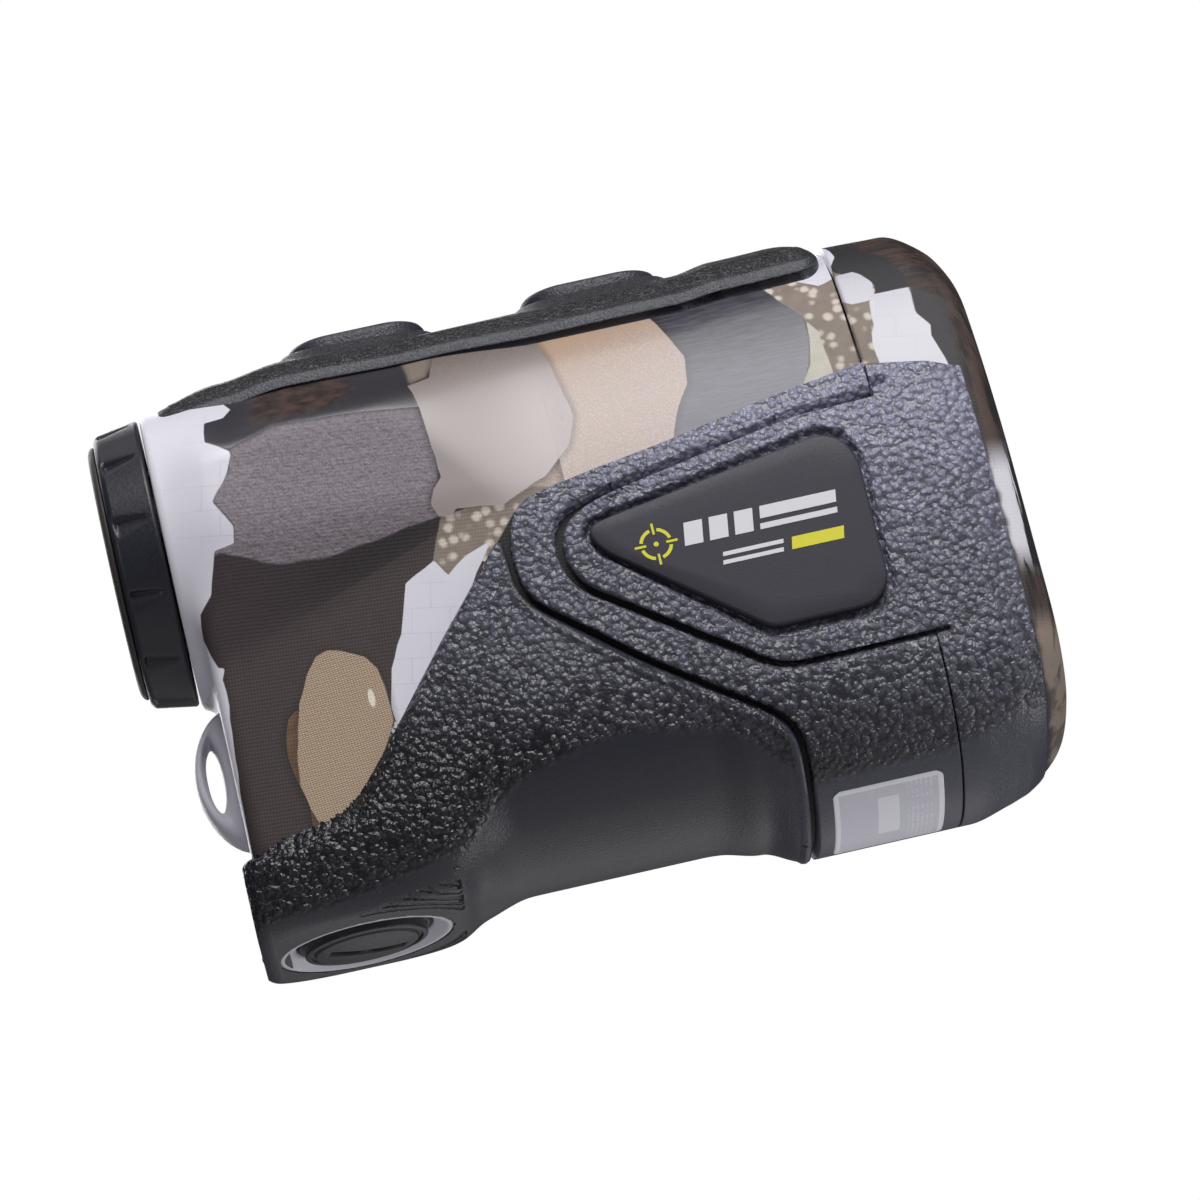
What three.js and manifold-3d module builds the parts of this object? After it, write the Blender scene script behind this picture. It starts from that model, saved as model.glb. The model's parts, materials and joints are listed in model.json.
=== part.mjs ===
// A monocular laser rangefinder: two moulded case halves and a front bezel in a camouflage print, rubber
// grips, a key pad with two push buttons, a turning diopter ring, and the optics, boards and battery inside.
// Millimetres. +X points forward along the optical axis, +Z is up, and the origin is the middle of the base.
import * as THREE from "three";
import { mergeVertices } from "three/addons/utils/BufferGeometryUtils.js";
import Module from "manifold-3d";

// ---- driving dimensions ----------------------------------------------------------------------------------
const LENGTH = 106;
const FRONT = LENGTH / 2;
const REAR = -44.1; // rear wall of the case
const SEAM = 38.3; // where the front bezel meets the case halves
const AXIS_Z = 52.5; // height of the sight line: objective, prism and eyepiece
const CORE_Z = 37; // each cross-section is star-shaped about this height
const WALL = 1.8;
const GAP = 0.3; // between pieces that touch
const RUBBER = 1.2; // how far the grips stand off the case
const ROUND = 28; // sides of an ordinary round piece
const SMALL_ROUND = 12;

// Side, top and base of the case. The cheek is the flat upper side, the flank is the lower side that narrows
// towards the rear, and the undercut is the slanted facet between them.
const CHEEK_Y = 18.9;
const FLANK = { at: REAR, y: 15.1, slope: 0.105, most: 19.1 };
const UNDERCUT = { y: 9.24, slopeX: 0.032, slopeZ: 0.219 };
const TOP = [
  [-47, 67], [-36, 69.6], [-28, 70.7], [-10, 70.1], [20, 70.6], [25, 71.4], [37.6, 71.7], [39, 73], [46, 72.8],
  [51, 71.2], [53, 70.4],
];
const BASE = [
  [-47, 3.3], [-22, 3.3], [-18, 4], [-12, 4.6], [8, 4.6], [15, 3.6], [20, 1.24], [40, 1.24], [47, 2.9], [53, 5],
];
const CROWN = 0.02; // fall of the top per square millimetre sideways
const BELLY_CROWN = [[8, 0], [20, 0.02]]; // rise of the belly per square millimetre sideways, along x
const BEVEL = { y: 0.738, z: 0.676, at: 54.1, rear: 0.6, front: 1.3 }; // slanted facet above the cheek
const RECESS = { y: 0.72, z: 0.69, side: 19.6, height: 13.4, outside: 7 }; // finger recess along the base edges
const REAR_EDGE = 3.5;
const FRONT_EDGE = 3.2;

const COLLAR = { rear: -46.1, front: -37, r: 18 };
const RING = { rear: -52, front: -46.4, rRear: 16.3, rFront: 17.4, bore: 13.1 };
const EYECUP = { rear: -FRONT, rim: 15.4, flange: -52.3, sleeve: -47, rIn: 11.8, rOut: 12.8 };
const EYEPIECE = { rear: -51.5, front: -30, rIn: 9.6, rOut: 11.4 };
const CARRIER = { rear: -50, front: -34, rIn: 7.9, rOut: 9.3, lens: 7.6 };
const OBJECTIVE = { lens: 10.2, rIn: 10.5, rOut: 11.9 };
const LASER = { z: 27, lens: 6.9, rIn: 7.2, rOut: 8.4 };
const PLATE_INSET = 3.6; // front plate in from the bezel's outside
const CELL = { x: -33.2, r: 7.8, low: 7.8, high: 34.8 };
const PORT = { rIn: 9.1, rOut: 10.55, low: 1.3, high: 4.3 };
const CAP = { r: 8.8, low: 2, rim: 4.7, plug: 7.7, high: 6.9 };
const BUTTON = { length: 17.2, width: 10.6, low: 71.9, high: 75, stem: 66.4 };
const BUTTON_X = { measure: -18.6, mode: 10.4 };
const STRIP = { rear: -43.4, front: 37.6, halfWidth: 11.2, thick: 2.3 };
const BOARD_Y = 6;

// Outlines in side view, [x, z].
const GRIP_REAR = [
  [-60, -9], [-60, 10.4], [-43.9, 10.5], [-40.2, 11.7], [-32.4, 13.1], [-29.2, 16.1], [-25, 21], [-17.7, 29.9],
  [-8.8, 39.9], [-8.4, 39], [-8.2, 34.3], [-6.8, 31.4], [4.6, 22.1], [17.8, 12.9], [19.4, 10.3], [19.6, -9],
];
const GRIP_FRONT = [
  [20.9, -9], [20.9, 10.8], [19.2, 13.9], [5.6, 23.2], [-5.6, 32.2], [-6.9, 34.6], [-7, 39.5], [-5.6, 43.4],
  [-1.9, 44.6], [4.3, 45.7], [14.1, 47.2], [26.8, 49.7], [38, 51.3], [38, 48.6], [28.3, 47.6], [4.1, 43.3],
  [-0.1, 41.8], [-1.9, 39.5], [-2.2, 35.6], [-0.6, 32.2], [9, 25.3], [18.6, 18.7], [21.4, 17.9], [38, 18.3],
  [38, -9],
];
const PAD = [
  [40, 19.3], [40, 47.6], [28.5, 46.6], [4.6, 42.3], [0.8, 41], [-0.9, 39.1], [-1.2, 36], [0.1, 32.9],
  [9.6, 26.2], [19, 19.8], [21.6, 19],
];
const NAME_PLATE = [
  [2, 38.3], [2.8, 39.4], [31, 44.3], [33.5, 43.1], [34.8, 40.3], [34.7, 25], [32.8, 22.9], [31.1, 22.5],
  [20.8, 22.4], [19.8, 22.9], [3.2, 36],
];
const BEZEL_GRIP = [[38.8, -9], [38.8, 51.3], [49.6, 49.1], [49.6, 11], [48.4, -9]];

// ---- colours --------------------------------------------------------------------------------------------
const PAINT = {
  camo: [0x4a423e, 0.55, 0],
  rubber: [0x23242a, 0.6, 0],
  black: [0x1b1c22, 0.45, 0],
  plate: [0x2c2c34, 0.35, 0],
  label: [0xc9c8d2, 0.5, 0],
  pale: [0xc4c3cc, 0.5, 0],
  glass: [0x9fb4c8, 0.05, 0],
  coated: [0x6b4a7a, 0.08, 0.1],
  metal: [0x9a9ca0, 0.35, 0.9],
  brass: [0xb79a55, 0.35, 0.9],
  board: [0x1f5a38, 0.5, 0],
  chip: [0x18181a, 0.4, 0],
  cell: [0x3f4a5c, 0.35, 0.3],
};

// ---- solids helpers -------------------------------------------------------------------------------------
const wasm = await Module();
wasm.setup();

function toSolid(source) {
  const geometry = source.clone();
  geometry.deleteAttribute("normal");
  geometry.deleteAttribute("uv");
  const merged = mergeVertices(geometry, 1e-4);
  const vertProperties = new Float32Array(merged.getAttribute("position").array);
  const triVerts = new Uint32Array(merged.index.array);
  return new wasm.Manifold(new wasm.Mesh({ numProp: 3, vertProperties, triVerts }));
}

function toGeometry(solid) {
  const mesh = solid.getMesh();
  const geometry = new THREE.BufferGeometry();
  geometry.setAttribute("position", new THREE.BufferAttribute(mesh.vertProperties, 3));
  geometry.setIndex(new THREE.BufferAttribute(mesh.triVerts, 1));
  geometry.computeVertexNormals();
  return geometry;
}

function box(x0, x1, y0, y1, z0, z1) {
  const geometry = new THREE.BoxGeometry(x1 - x0, y1 - y0, z1 - z0);
  geometry.translate((x0 + x1) / 2, (y0 + y1) / 2, (z0 + z1) / 2);
  return toSolid(geometry);
}

// A profile of [place along the axis, radius] points, turned about an axis along X, Y or Z.
function turned(axis, profile, at, sides = ROUND) {
  const flat = new wasm.CrossSection([profile.map(([along, r]) => [r, along])], "EvenOdd");
  const solid = wasm.Manifold.revolve(flat, sides);
  const turn = { x: [0, 90, 0], y: [-90, 0, 0], z: [0, 0, 0] }[axis];
  return solid.rotate(turn).translate(at);
}

function rod(axis, r, from, to, [u, v], sides = ROUND) {
  const at = { x: [0, u, v], y: [u, 0, v], z: [u, v, 0] }[axis];
  return turned(axis, [[from, 0], [from, r], [to, r], [to, 0]], at, sides);
}

function tube(axis, rIn, rOut, from, to, [u, v], sides = ROUND) {
  const at = { x: [0, u, v], y: [u, 0, v], z: [u, v, 0] }[axis];
  return turned(axis, [[from, rIn], [from, rOut], [to, rOut], [to, rIn]], at, sides);
}

// An outline of [x, z] points, pushed through along Y.
function sideways(outline, y0, y1) {
  const shape = new THREE.Shape(outline.map(([x, z]) => new THREE.Vector2(x, z)));
  const geometry = new THREE.ExtrudeGeometry(shape, { depth: y1 - y0, bevelEnabled: false });
  geometry.rotateX(Math.PI / 2);
  return toSolid(geometry.translate(0, y1, 0));
}

// An oval with round ends along X, pushed up along Z.
function oval(x, length, width, z0, z1) {
  const r = width / 2;
  const reach = length / 2 - r;
  const ends = [rod("z", r, z0, z1, [x - reach, 0], 20), rod("z", r, z0, z1, [x + reach, 0], 20)];
  return wasm.Manifold.hull(ends);
}

// ---- the case's surface ---------------------------------------------------------------------------------
function along(table, x) {
  const last = table.findIndex(([place]) => place >= x);
  if (last === 0) return table[0][1];
  if (last < 0) return table[table.length - 1][1];
  const [[x0, v0], [x1, v1]] = [table[last - 1], table[last]];
  const t = (x - x0) / (x1 - x0);
  return v0 + (v1 - v0) * t * t * (3 - 2 * t);
}

function softMax(a, b, soft) {
  const close = Math.max(soft - Math.abs(a - b), 0) / soft;
  return Math.max(a, b) + (close * close * soft) / 4;
}

function halfWidth(x, z) {
  const flank = Math.min(FLANK.y + (x - FLANK.at) * FLANK.slope, FLANK.most);
  const undercut = UNDERCUT.y + UNDERCUT.slopeX * x + UNDERCUT.slopeZ * z;
  return Math.min(CHEEK_Y, Math.max(undercut, flank));
}

// 0 below low, 1 above high, smooth between.
function ramp(x, low, high) {
  return along([[low, 0], [high, 1]], x);
}

// Roughly how far a point is outside the case, negative inside.
function outside(x, y, z) {
  const side = Math.abs(y) - halfWidth(x, z);
  const bevelAt = BEVEL.at + BEVEL.rear * ramp(x, -38, -30) + BEVEL.front * ramp(x, -18, 0);
  const bevel = BEVEL.y * Math.abs(y) + BEVEL.z * z - bevelAt;
  const shoulder = softMax(side, bevel, 1.6 + 16 * ramp(x, -20, 2));
  const top = z - along(TOP, x) + CROWN * y * y;
  const base = along(BASE, x) + along(BELLY_CROWN, x) * y * y - z;
  const scooped = ramp(x, -24, -13) * (1 - ramp(x, 10, 20));
  const slant = RECESS.y * (Math.abs(y) - RECESS.side) - RECESS.z * (z - RECESS.height);
  const recess = slant - RECESS.outside * (1 - scooped);
  return softMax(softMax(shoulder, top, 5), softMax(base, recess, 9), 7);
}

function reachAt(x, angle, offset) {
  let near = 0;
  let far = 70;
  for (let step = 0; step < 30; step += 1) {
    const r = (near + far) / 2;
    if (outside(x, r * Math.cos(angle), CORE_Z + r * Math.sin(angle)) > offset) far = r;
    else near = r;
  }
  return near;
}

// A solid through cross-sections at the stations [x, offset]; an offset grows or shrinks the section.
function loft(stations, sides) {
  const positions = [];
  const index = [];
  for (const [x, offset] of stations) {
    for (let i = 0; i < sides; i += 1) {
      const angle = ((i + 0.5) / sides) * 2 * Math.PI;
      const r = reachAt(x, angle, offset);
      positions.push(x, r * Math.cos(angle), CORE_Z + r * Math.sin(angle));
    }
  }
  for (let s = 0; s + 1 < stations.length; s += 1) {
    for (let i = 0; i < sides; i += 1) {
      const a = s * sides + i;
      const b = s * sides + ((i + 1) % sides);
      index.push(a, b, b + sides, a, b + sides, a + sides);
    }
  }
  const rearHub = positions.length / 3;
  const frontHub = rearHub + 1;
  positions.push(stations[0][0], 0, CORE_Z, stations[stations.length - 1][0], 0, CORE_Z);
  const lastRing = (stations.length - 1) * sides;
  for (let i = 0; i < sides; i += 1) {
    const next = (i + 1) % sides;
    index.push(rearHub, next, i);
    index.push(frontHub, lastRing + i, lastRing + next);
  }
  const geometry = new THREE.BufferGeometry();
  geometry.setAttribute("position", new THREE.Float32BufferAttribute(positions, 3));
  geometry.setIndex(index);
  return toSolid(geometry);
}

const CASE_PLACES = [-36, -28, -22, -18, -12, -4, 8, 15, 20, 30];
const FINE = 48;
const COARSE = 32;

function rounded(place, radius) {
  return radius - Math.sqrt(radius * radius - (radius - place) ** 2);
}

function caseLoft(grow, sides, rear = REAR - grow, front = SEAM) {
  const edge = REAR_EDGE + grow;
  const stations = [0, 0.12, 0.4, 1].map((t) => [rear + t * edge, grow - rounded(t * edge, edge)]);
  stations.push(...CASE_PLACES.map((x) => [x, grow]), [front, grow]);
  return loft(stations, sides);
}

function bezelLoft(grow, sides, rear, front) {
  const edge = FRONT_EDGE + grow;
  const stations = [[rear, grow], [44, grow]];
  for (const t of [1, 0.4, 0.12, 0]) stations.push([front - t * edge, grow - rounded(t * edge, edge)]);
  return loft(stations, sides);
}

// ---- pieces ---------------------------------------------------------------------------------------------
const part = new THREE.Group();
part.name = "laser_rangefinder";

function add(name, paint, solid) {
  const [color, roughness, metalness] = PAINT[paint];
  const material = new THREE.MeshStandardMaterial({ color, roughness, metalness });
  const mesh = new THREE.Mesh(toGeometry(solid), material);
  mesh.name = name;
  part.add(mesh);
}

const onAxis = [0, AXIS_Z];
const onLaser = [0, LASER.z];
const onCell = [CELL.x, 0];

// Case halves: a hollow loft with the eyepiece collar, parted on the middle plane.
const collar = turned("x", [
  [COLLAR.rear, 0], [COLLAR.rear, COLLAR.r - 0.8], [COLLAR.rear + 0.6, COLLAR.r],
  [COLLAR.front - 3, COLLAR.r], [COLLAR.front, COLLAR.r - 2], [COLLAR.front, 0],
], [0, 0, AXIS_Z], 40);
const solidCase = caseLoft(0, FINE).add(collar);
const hollow = loft([[REAR + WALL, -WALL - 1.6], [REAR + WALL + 3, -WALL], ...CASE_PLACES.map((x) => [x, -WALL]),
  [SEAM + 5, -WALL]], COARSE);
const stemHoles = ["measure", "mode"].map((key) => rod("z", 2.5, 60, 80, [BUTTON_X[key], 0], SMALL_ROUND));
const bosses = [[-13, 12], [-13, 35], [26, 12], [26, 35]];
let shell = solidCase.subtract(hollow);
shell = shell.subtract(rod("x", EYEPIECE.rOut + GAP, -60, COLLAR.front + 6, onAxis));
shell = shell.subtract(rod("z", PORT.rIn + GAP, -5, 8, onCell));
shell = shell.subtract(rod("z", PORT.rOut + GAP, -5, PORT.high + GAP, onCell));
for (const hole of stemHoles) shell = shell.subtract(hole);
const cut = { left: box(-60, 60, GAP / 2, 40, -10, 90), right: box(-60, 60, -40, -GAP / 2, -10, 90) };
const inCase = caseLoft(-WALL / 2, FINE);
let leftShell = shell.intersect(cut.left);
for (const [x, z] of bosses) {
  const boss = rod("y", 2.4, BOARD_Y + 1.8, CHEEK_Y - 1, [x, z], SMALL_ROUND);
  leftShell = leftShell.add(boss.intersect(inCase)).subtract(rod("y", 1.3, 0, CHEEK_Y - 4, [x, z], SMALL_ROUND));
}
add("left_shell", "camo", leftShell);
add("right_shell", "camo", shell.intersect(cut.right));

// Front bezel with its recessed plate and two lens rings.
const bezelFront = FRONT - 1.6;
let bezel = bezelLoft(0, FINE, SEAM + GAP, FRONT);
bezel = bezel.subtract(loft([[SEAM - 2, -WALL], [47, -WALL]], COARSE));
bezel = bezel.subtract(loft([[bezelFront - 0.2, -PLATE_INSET + GAP], [FRONT + 2, -PLATE_INSET + GAP]], COARSE));
bezel = bezel.subtract(rod("x", OBJECTIVE.rOut + GAP, 40, 60, onAxis));
bezel = bezel.subtract(rod("x", LASER.rOut + GAP, 40, 60, onLaser));
add("front_bezel", "camo", bezel);

let frontPlate = loft([[bezelFront + 0.1, -PLATE_INSET], [FRONT - 0.6, -PLATE_INSET]], COARSE);
frontPlate = frontPlate.subtract(rod("x", OBJECTIVE.rOut + GAP, 40, 60, onAxis));
frontPlate = frontPlate.subtract(rod("x", LASER.rOut + GAP, 40, 60, onLaser));
add("front_plate", "black", frontPlate);

// Rubber: skins over the case, cut to their outlines in side view.
const caseSkin = caseLoft(RUBBER + GAP / 2, FINE).subtract(caseLoft(GAP, FINE)).subtract(solidCase);
const wide = 30;
const plinth = wasm.Manifold.hull([
  rod("z", 11.6, CAP.low, 8, [CELL.x, 0], 32),
  rod("z", 11, CAP.low, 10, [CELL.x + 1.5, 0], 32),
  rod("z", 4, CAP.low + 0.5, 10, [CELL.x - 7.4, 9.5], SMALL_ROUND),
  rod("z", 4, CAP.low + 0.5, 10, [CELL.x - 7.4, -9.5], SMALL_ROUND),
]);
let rearGrip = caseSkin.intersect(sideways(GRIP_REAR, -wide, wide));
rearGrip = rearGrip.add(plinth.subtract(caseLoft(GAP, FINE)).subtract(solidCase));
rearGrip = rearGrip.subtract(rod("z", PORT.rOut + GAP, -5, 8, onCell, 32));
add("rear_grip", "rubber", rearGrip);
const labelPocket = box(22.3, 35.9, -13.3, 3.3, -2, 8).subtract(caseLoft(RUBBER - 0.5, FINE));
add("front_grip", "rubber", caseSkin.intersect(sideways(GRIP_FRONT, -wide, wide)).subtract(labelPocket));
const bezelOver = bezelLoft(RUBBER + GAP / 2, FINE, SEAM - 0.1, FRONT + 1.4);
const bezelSkin = bezelOver.subtract(bezelLoft(GAP, FINE, SEAM - 1, FRONT + GAP)).subtract(bezel);
const padSkin = caseSkin.add(bezelSkin).intersect(sideways(PAD, -wide, wide));
const pocket = sideways(NAME_PLATE, -wide, wide).subtract(caseLoft(RUBBER - 0.6, FINE));
const bezelGrip = bezelSkin.intersect(sideways(BEZEL_GRIP, -wide, wide)).add(padSkin);
add("bezel_grip", "rubber", bezelGrip.subtract(pocket));

const plateSkin = caseLoft(RUBBER + 0.1, COARSE).subtract(caseLoft(RUBBER - 0.4, COARSE));
const plateFace = shrunk(NAME_PLATE, 0.35);
add("left_name_plate", "plate", plateSkin.intersect(sideways(plateFace, 0, wide)));
add("right_name_plate", "plate", plateSkin.intersect(sideways(plateFace, -wide, 0)));

function shrunk(outline, by) {
  const middle = outline.reduce(([x, z], [u, v]) => [x + u / outline.length, z + v / outline.length], [0, 0]);
  return outline.map(([x, z]) => {
    const away = Math.hypot(x - middle[0], z - middle[1]);
    return [x - ((x - middle[0]) / away) * by, z - ((z - middle[1]) / away) * by];
  });
}

// Key pad.
const stripOutline = wasm.Manifold.hull([
  rod("z", 2, 55, 85, [STRIP.rear + 2, STRIP.halfWidth - 2], 16),
  rod("z", 2, 55, 85, [STRIP.rear + 2, 2 - STRIP.halfWidth], 16),
  rod("z", 2, 55, 85, [STRIP.front - 2, STRIP.halfWidth - 2], 16),
  rod("z", 2, 55, 85, [STRIP.front - 2, 2 - STRIP.halfWidth], 16),
]);
const overCase = caseLoft(GAP, FINE, REAR - GAP, SEAM + 1).add(collar.translate([0, 0, GAP]));
let strip = caseLoft(STRIP.thick, FINE, REAR - 1.5, SEAM + 1).subtract(overCase).intersect(stripOutline);
const buttonPad = 0.35;
for (const x of Object.values(BUTTON_X)) {
  strip = strip.subtract(oval(x, BUTTON.length + 2 * buttonPad, BUTTON.width + 2 * buttonPad, 60, 80));
}
add("top_strip", "rubber", largest(strip));
for (const [key, x] of Object.entries(BUTTON_X)) {
  const cap = wasm.Manifold.hull([
    oval(x, BUTTON.length, BUTTON.width, BUTTON.low, BUTTON.high - 0.9),
    oval(x, BUTTON.length - 2.4, BUTTON.width - 2.4, BUTTON.high - 0.2, BUTTON.high),
  ]);
  add(`${key}_button`, "rubber", cap.add(rod("z", 2, BUTTON.stem, BUTTON.low + 1, [x, 0], SMALL_ROUND)));
  add(`${key}_plunger`, "black", rod("z", 0.9, 63.9, BUTTON.stem - 0.1, [x, 0], SMALL_ROUND));
  const body = box(x - 3, x + 3, -3, 3, 63, 65.5);
  add(`${key}_switch`, "metal", body.subtract(rod("z", 1.2, 60, 70, [x, 0], SMALL_ROUND)));
}
add("button_board", "board", box(-28, 18, -6, 6, 61.6, 62.7).subtract(rod("z", 1.2, 55, 70, [-24, 4], SMALL_ROUND)));

function largest(solid) {
  return solid.decompose().sort((a, b) => b.volume() - a.volume())[0];
}

// Sight line: objective, prism, reticle display and eyepiece.
function lens(x, thick, r, at) {
  const bulge = thick * 0.22;
  return turned("x", [[x, 0], [x + bulge, r * 0.6], [x + 2 * bulge, r], [x + thick - 2 * bulge, r],
    [x + thick - bulge, r * 0.6], [x + thick, 0]], [0, 0, at[1]]);
}
add("objective_lens", "coated", lens(46, 4.4, OBJECTIVE.lens, onAxis));
add("objective_ring", "black", turned("x", [[43.5, OBJECTIVE.lens - 1.5], [43.5, OBJECTIVE.rOut], [52.6, OBJECTIVE.rOut],
  [52.6, OBJECTIVE.lens + 0.6], [50.6, OBJECTIVE.rIn], [45.7, OBJECTIVE.rIn], [45.7, OBJECTIVE.lens - 1.5]], [0, 0, AXIS_Z]));
add("objective_barrel", "metal", tube("x", 9.8, 11.6, 19, 43.2, onAxis));
add("prism_holder", "black", box(-19, 11.6, -10, 10, 42.2, 60.8).subtract(box(-25, 20, -8.3, 8.3, 44, 59)));
const prism = wasm.Manifold.hull([box(-16, 8, -8, 8, 44.3, 52), box(-12, 4, -8, 8, 52, 58.7)]);
add("prism_block", "glass", prism);
add("receiver_diode", "metal", rod("z", 3, 38.6, 41.9, [4, 0], 16));
add("reticle_display", "glass", box(-22.4, -20.8, -7.5, 7.5, 45, 60));
add("eyepiece_housing", "black", tube("x", EYEPIECE.rIn, EYEPIECE.rOut, EYEPIECE.rear, EYEPIECE.front, onAxis));
const barrel = tube("x", CARRIER.rIn, CARRIER.rOut, CARRIER.rear, CARRIER.front, onAxis);
add("eyepiece_barrel", "black", barrel.add(tube("x", 6.8, CARRIER.rIn + 0.5, -41.5, -40.5, onAxis)));
add("eye_lens", "coated", lens(-48.2, 4.6, CARRIER.lens, onAxis));
add("field_lens", "glass", lens(-39.8, 4.2, CARRIER.lens, onAxis));
add("eyepiece_retainer", "black", tube("x", 6.7, CARRIER.lens, -49.8, -47.4, onAxis));

// The ring's grip notches are tapered gouges, deepest at the rear.
let ring = turned("x", [[RING.rear, RING.bore], [RING.rear, RING.rRear], [RING.rear + 0.5, RING.rRear + 0.3],
  [RING.front, RING.rFront], [RING.front, RING.bore]], [0, 0, AXIS_Z], 48);
const notches = 12;
const gouge = turned("x", [[RING.rear + 0.6, 0], [RING.rear + 0.6, 1.6], [RING.front - 0.8, 0.3], [RING.front - 0.8, 0]], [0, 0, 18.2], 6);
for (let i = 0; i < notches; i += 1) {
  ring = ring.subtract(gouge.rotate([((i + 0.5) / notches) * 360, 0, 0]).translate([0, 0, AXIS_Z]));
}
add("diopter_ring", "rubber", ring);
add("eyecup", "rubber", turned("x", [[EYECUP.rear, EYECUP.rIn], [EYECUP.rear, 14.4], [EYECUP.flange, EYECUP.rim],
  [EYECUP.flange, EYECUP.rOut], [EYECUP.sleeve, EYECUP.rOut], [EYECUP.sleeve, EYECUP.rIn]], [0, 0, AXIS_Z], 36));

// Rangefinding: the laser lens and tube, the main board on its bosses.
add("laser_lens", "coated", lens(47, 3.6, LASER.lens, onLaser));
add("laser_lens_ring", "black", turned("x", [[44.5, LASER.lens - 1.2], [44.5, LASER.rOut], [52.6, LASER.rOut],
  [52.6, LASER.rIn + 0.3], [46.7, LASER.rIn], [46.7, LASER.lens - 1.2]], [0, 0, LASER.z]));
add("laser_tube", "black", tube("x", 5.4, 6.4, 30.5, 44.2, onLaser));
add("laser_diode", "brass", rod("x", 4.2, 26, 30.2, onLaser, 16));
let board = box(-18, 29, BOARD_Y, BOARD_Y + 1.5, 9, 40);
for (const [x, z] of bosses) board = board.subtract(rod("y", 1.3, 0, 20, [x, z], SMALL_ROUND));
add("main_board", "board", board.subtract(box(24, 40, 0, 20, 20, 34)));
add("processor_chip", "chip", box(-4, 8, BOARD_Y - 1.6, BOARD_Y - 0.2, 18, 30));
bosses.forEach(([x, z], i) => {
  const screw = rod("y", 0.95, BOARD_Y - 0.4, BOARD_Y + 6, [x, z], SMALL_ROUND);
  add(`board_screw_${i + 1}`, "metal", screw.add(rod("y", 2, BOARD_Y - 1.6, BOARD_Y - 0.2, [x, z], SMALL_ROUND)));
});
const cable = [[-28, 61.3], [-28, 37.6], [-16.8, 37.6], [-16.8, 39.6], [-24, 39.6], [-24, 61.3]];
add("flexible_cable", "brass", sideways(cable, BOARD_Y - 0.7, BOARD_Y - 0.3));

// Power: tube, cell, contacts, and the screw cap in its ring.
add("battery_tube", "black", tube("z", 8.15, 8.7, 5.9, 37, onCell));
const can = rod("z", CELL.r, CELL.low, CELL.high - 0.8, onCell);
add("battery_cell", "cell", can.add(rod("z", 3, CELL.high - 1, CELL.high, onCell, 16)));
add("battery_top_contact", "brass", rod("z", 6, 35.3, 35.8, onCell, 16));
add("cap_contact", "brass", tube("z", 2, 5, CAP.high + 0.15, CELL.low - 0.2, onCell, 16));
const slotRidge = box(CELL.x - 6.6, CELL.x + 6.6, -1.4, 1.4, CAP.low, CAP.low + 1);
let cap = rod("z", CAP.r, CAP.low, CAP.rim, onCell, 32).add(rod("z", CAP.plug, CAP.rim - 0.5, CAP.high, onCell, 32));
cap = cap.subtract(tube("z", 0.01, 7.4, CAP.low - 1, CAP.low + 0.8, onCell, 24)).add(slotRidge);
add("battery_cap", "black", cap);
add("cap_seal", "rubber", tube("z", CAP.plug + 0.1, 8.5, CAP.rim + 0.15, CAP.rim + 0.9, onCell));
add("cap_ring", "pale", tube("z", PORT.rIn, PORT.rOut, PORT.low, PORT.high, onCell, 40));

// Lanyard loop on the rear wall: a foot and an arch round a slot.
const loopOuter = sideways([[REAR - GAP, 34.6], [-46, 33.6], [-48.7, 28.6], [-48.7, 21], [-46, 14.8], [REAR - GAP, 13.8]], -3, 3);
const loopSlot = sideways([[-45.5, 29.6], [-46.5, 28.9], [-47.2, 27.6], [-47.2, 22], [-46.5, 20.4], [-45.5, 19.6]], -9, 9);
add("lanyard_loop", "pale", loopOuter.subtract(loopSlot));
const labelSkin = caseLoft(RUBBER + 0.1, FINE).subtract(caseLoft(RUBBER - 0.3, FINE));
add("belly_label", "label", labelSkin.intersect(box(22.6, 35.6, -13, 3, -2, 8)));

export default part;
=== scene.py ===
"""A laser rangefinder: finished surfaces, materials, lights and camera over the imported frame.

Shapes are worked out in millimetres in the row frame (+X forward, +Z up) and turned into metres
where a mesh is made. The case is one implicit surface, and the shells, the bezel, the grips and
the key strip are laid on it or at a small distance from it.
"""
import json
import math

import bpy
import numpy as np
from mathutils import Matrix, Vector


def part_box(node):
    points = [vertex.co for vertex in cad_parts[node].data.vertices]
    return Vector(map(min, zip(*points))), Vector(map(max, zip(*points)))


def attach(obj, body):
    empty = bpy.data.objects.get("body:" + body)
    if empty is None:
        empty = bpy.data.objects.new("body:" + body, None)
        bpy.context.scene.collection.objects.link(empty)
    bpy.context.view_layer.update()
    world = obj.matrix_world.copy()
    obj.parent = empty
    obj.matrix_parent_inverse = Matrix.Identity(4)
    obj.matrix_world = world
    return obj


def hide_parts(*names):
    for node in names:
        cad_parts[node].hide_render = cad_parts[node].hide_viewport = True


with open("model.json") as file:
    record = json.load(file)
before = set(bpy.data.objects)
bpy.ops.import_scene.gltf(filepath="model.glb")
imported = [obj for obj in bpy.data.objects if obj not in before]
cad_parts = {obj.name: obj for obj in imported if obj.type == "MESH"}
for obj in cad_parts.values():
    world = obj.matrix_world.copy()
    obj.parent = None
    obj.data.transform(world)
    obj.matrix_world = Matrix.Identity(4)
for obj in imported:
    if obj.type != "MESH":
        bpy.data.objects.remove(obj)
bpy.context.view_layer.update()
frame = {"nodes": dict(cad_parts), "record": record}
nodes = frame["nodes"]
MM = 0.001  # one millimetre, in metres


def extent(node, axis, end):
    """A CAD node's lowest (end 0) or highest (end 1) place along an axis, in millimetres."""
    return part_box(node)[end][axis] / MM


def middle(node, axis):
    return (extent(node, axis, 0) + extent(node, axis, 1)) / 2


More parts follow.
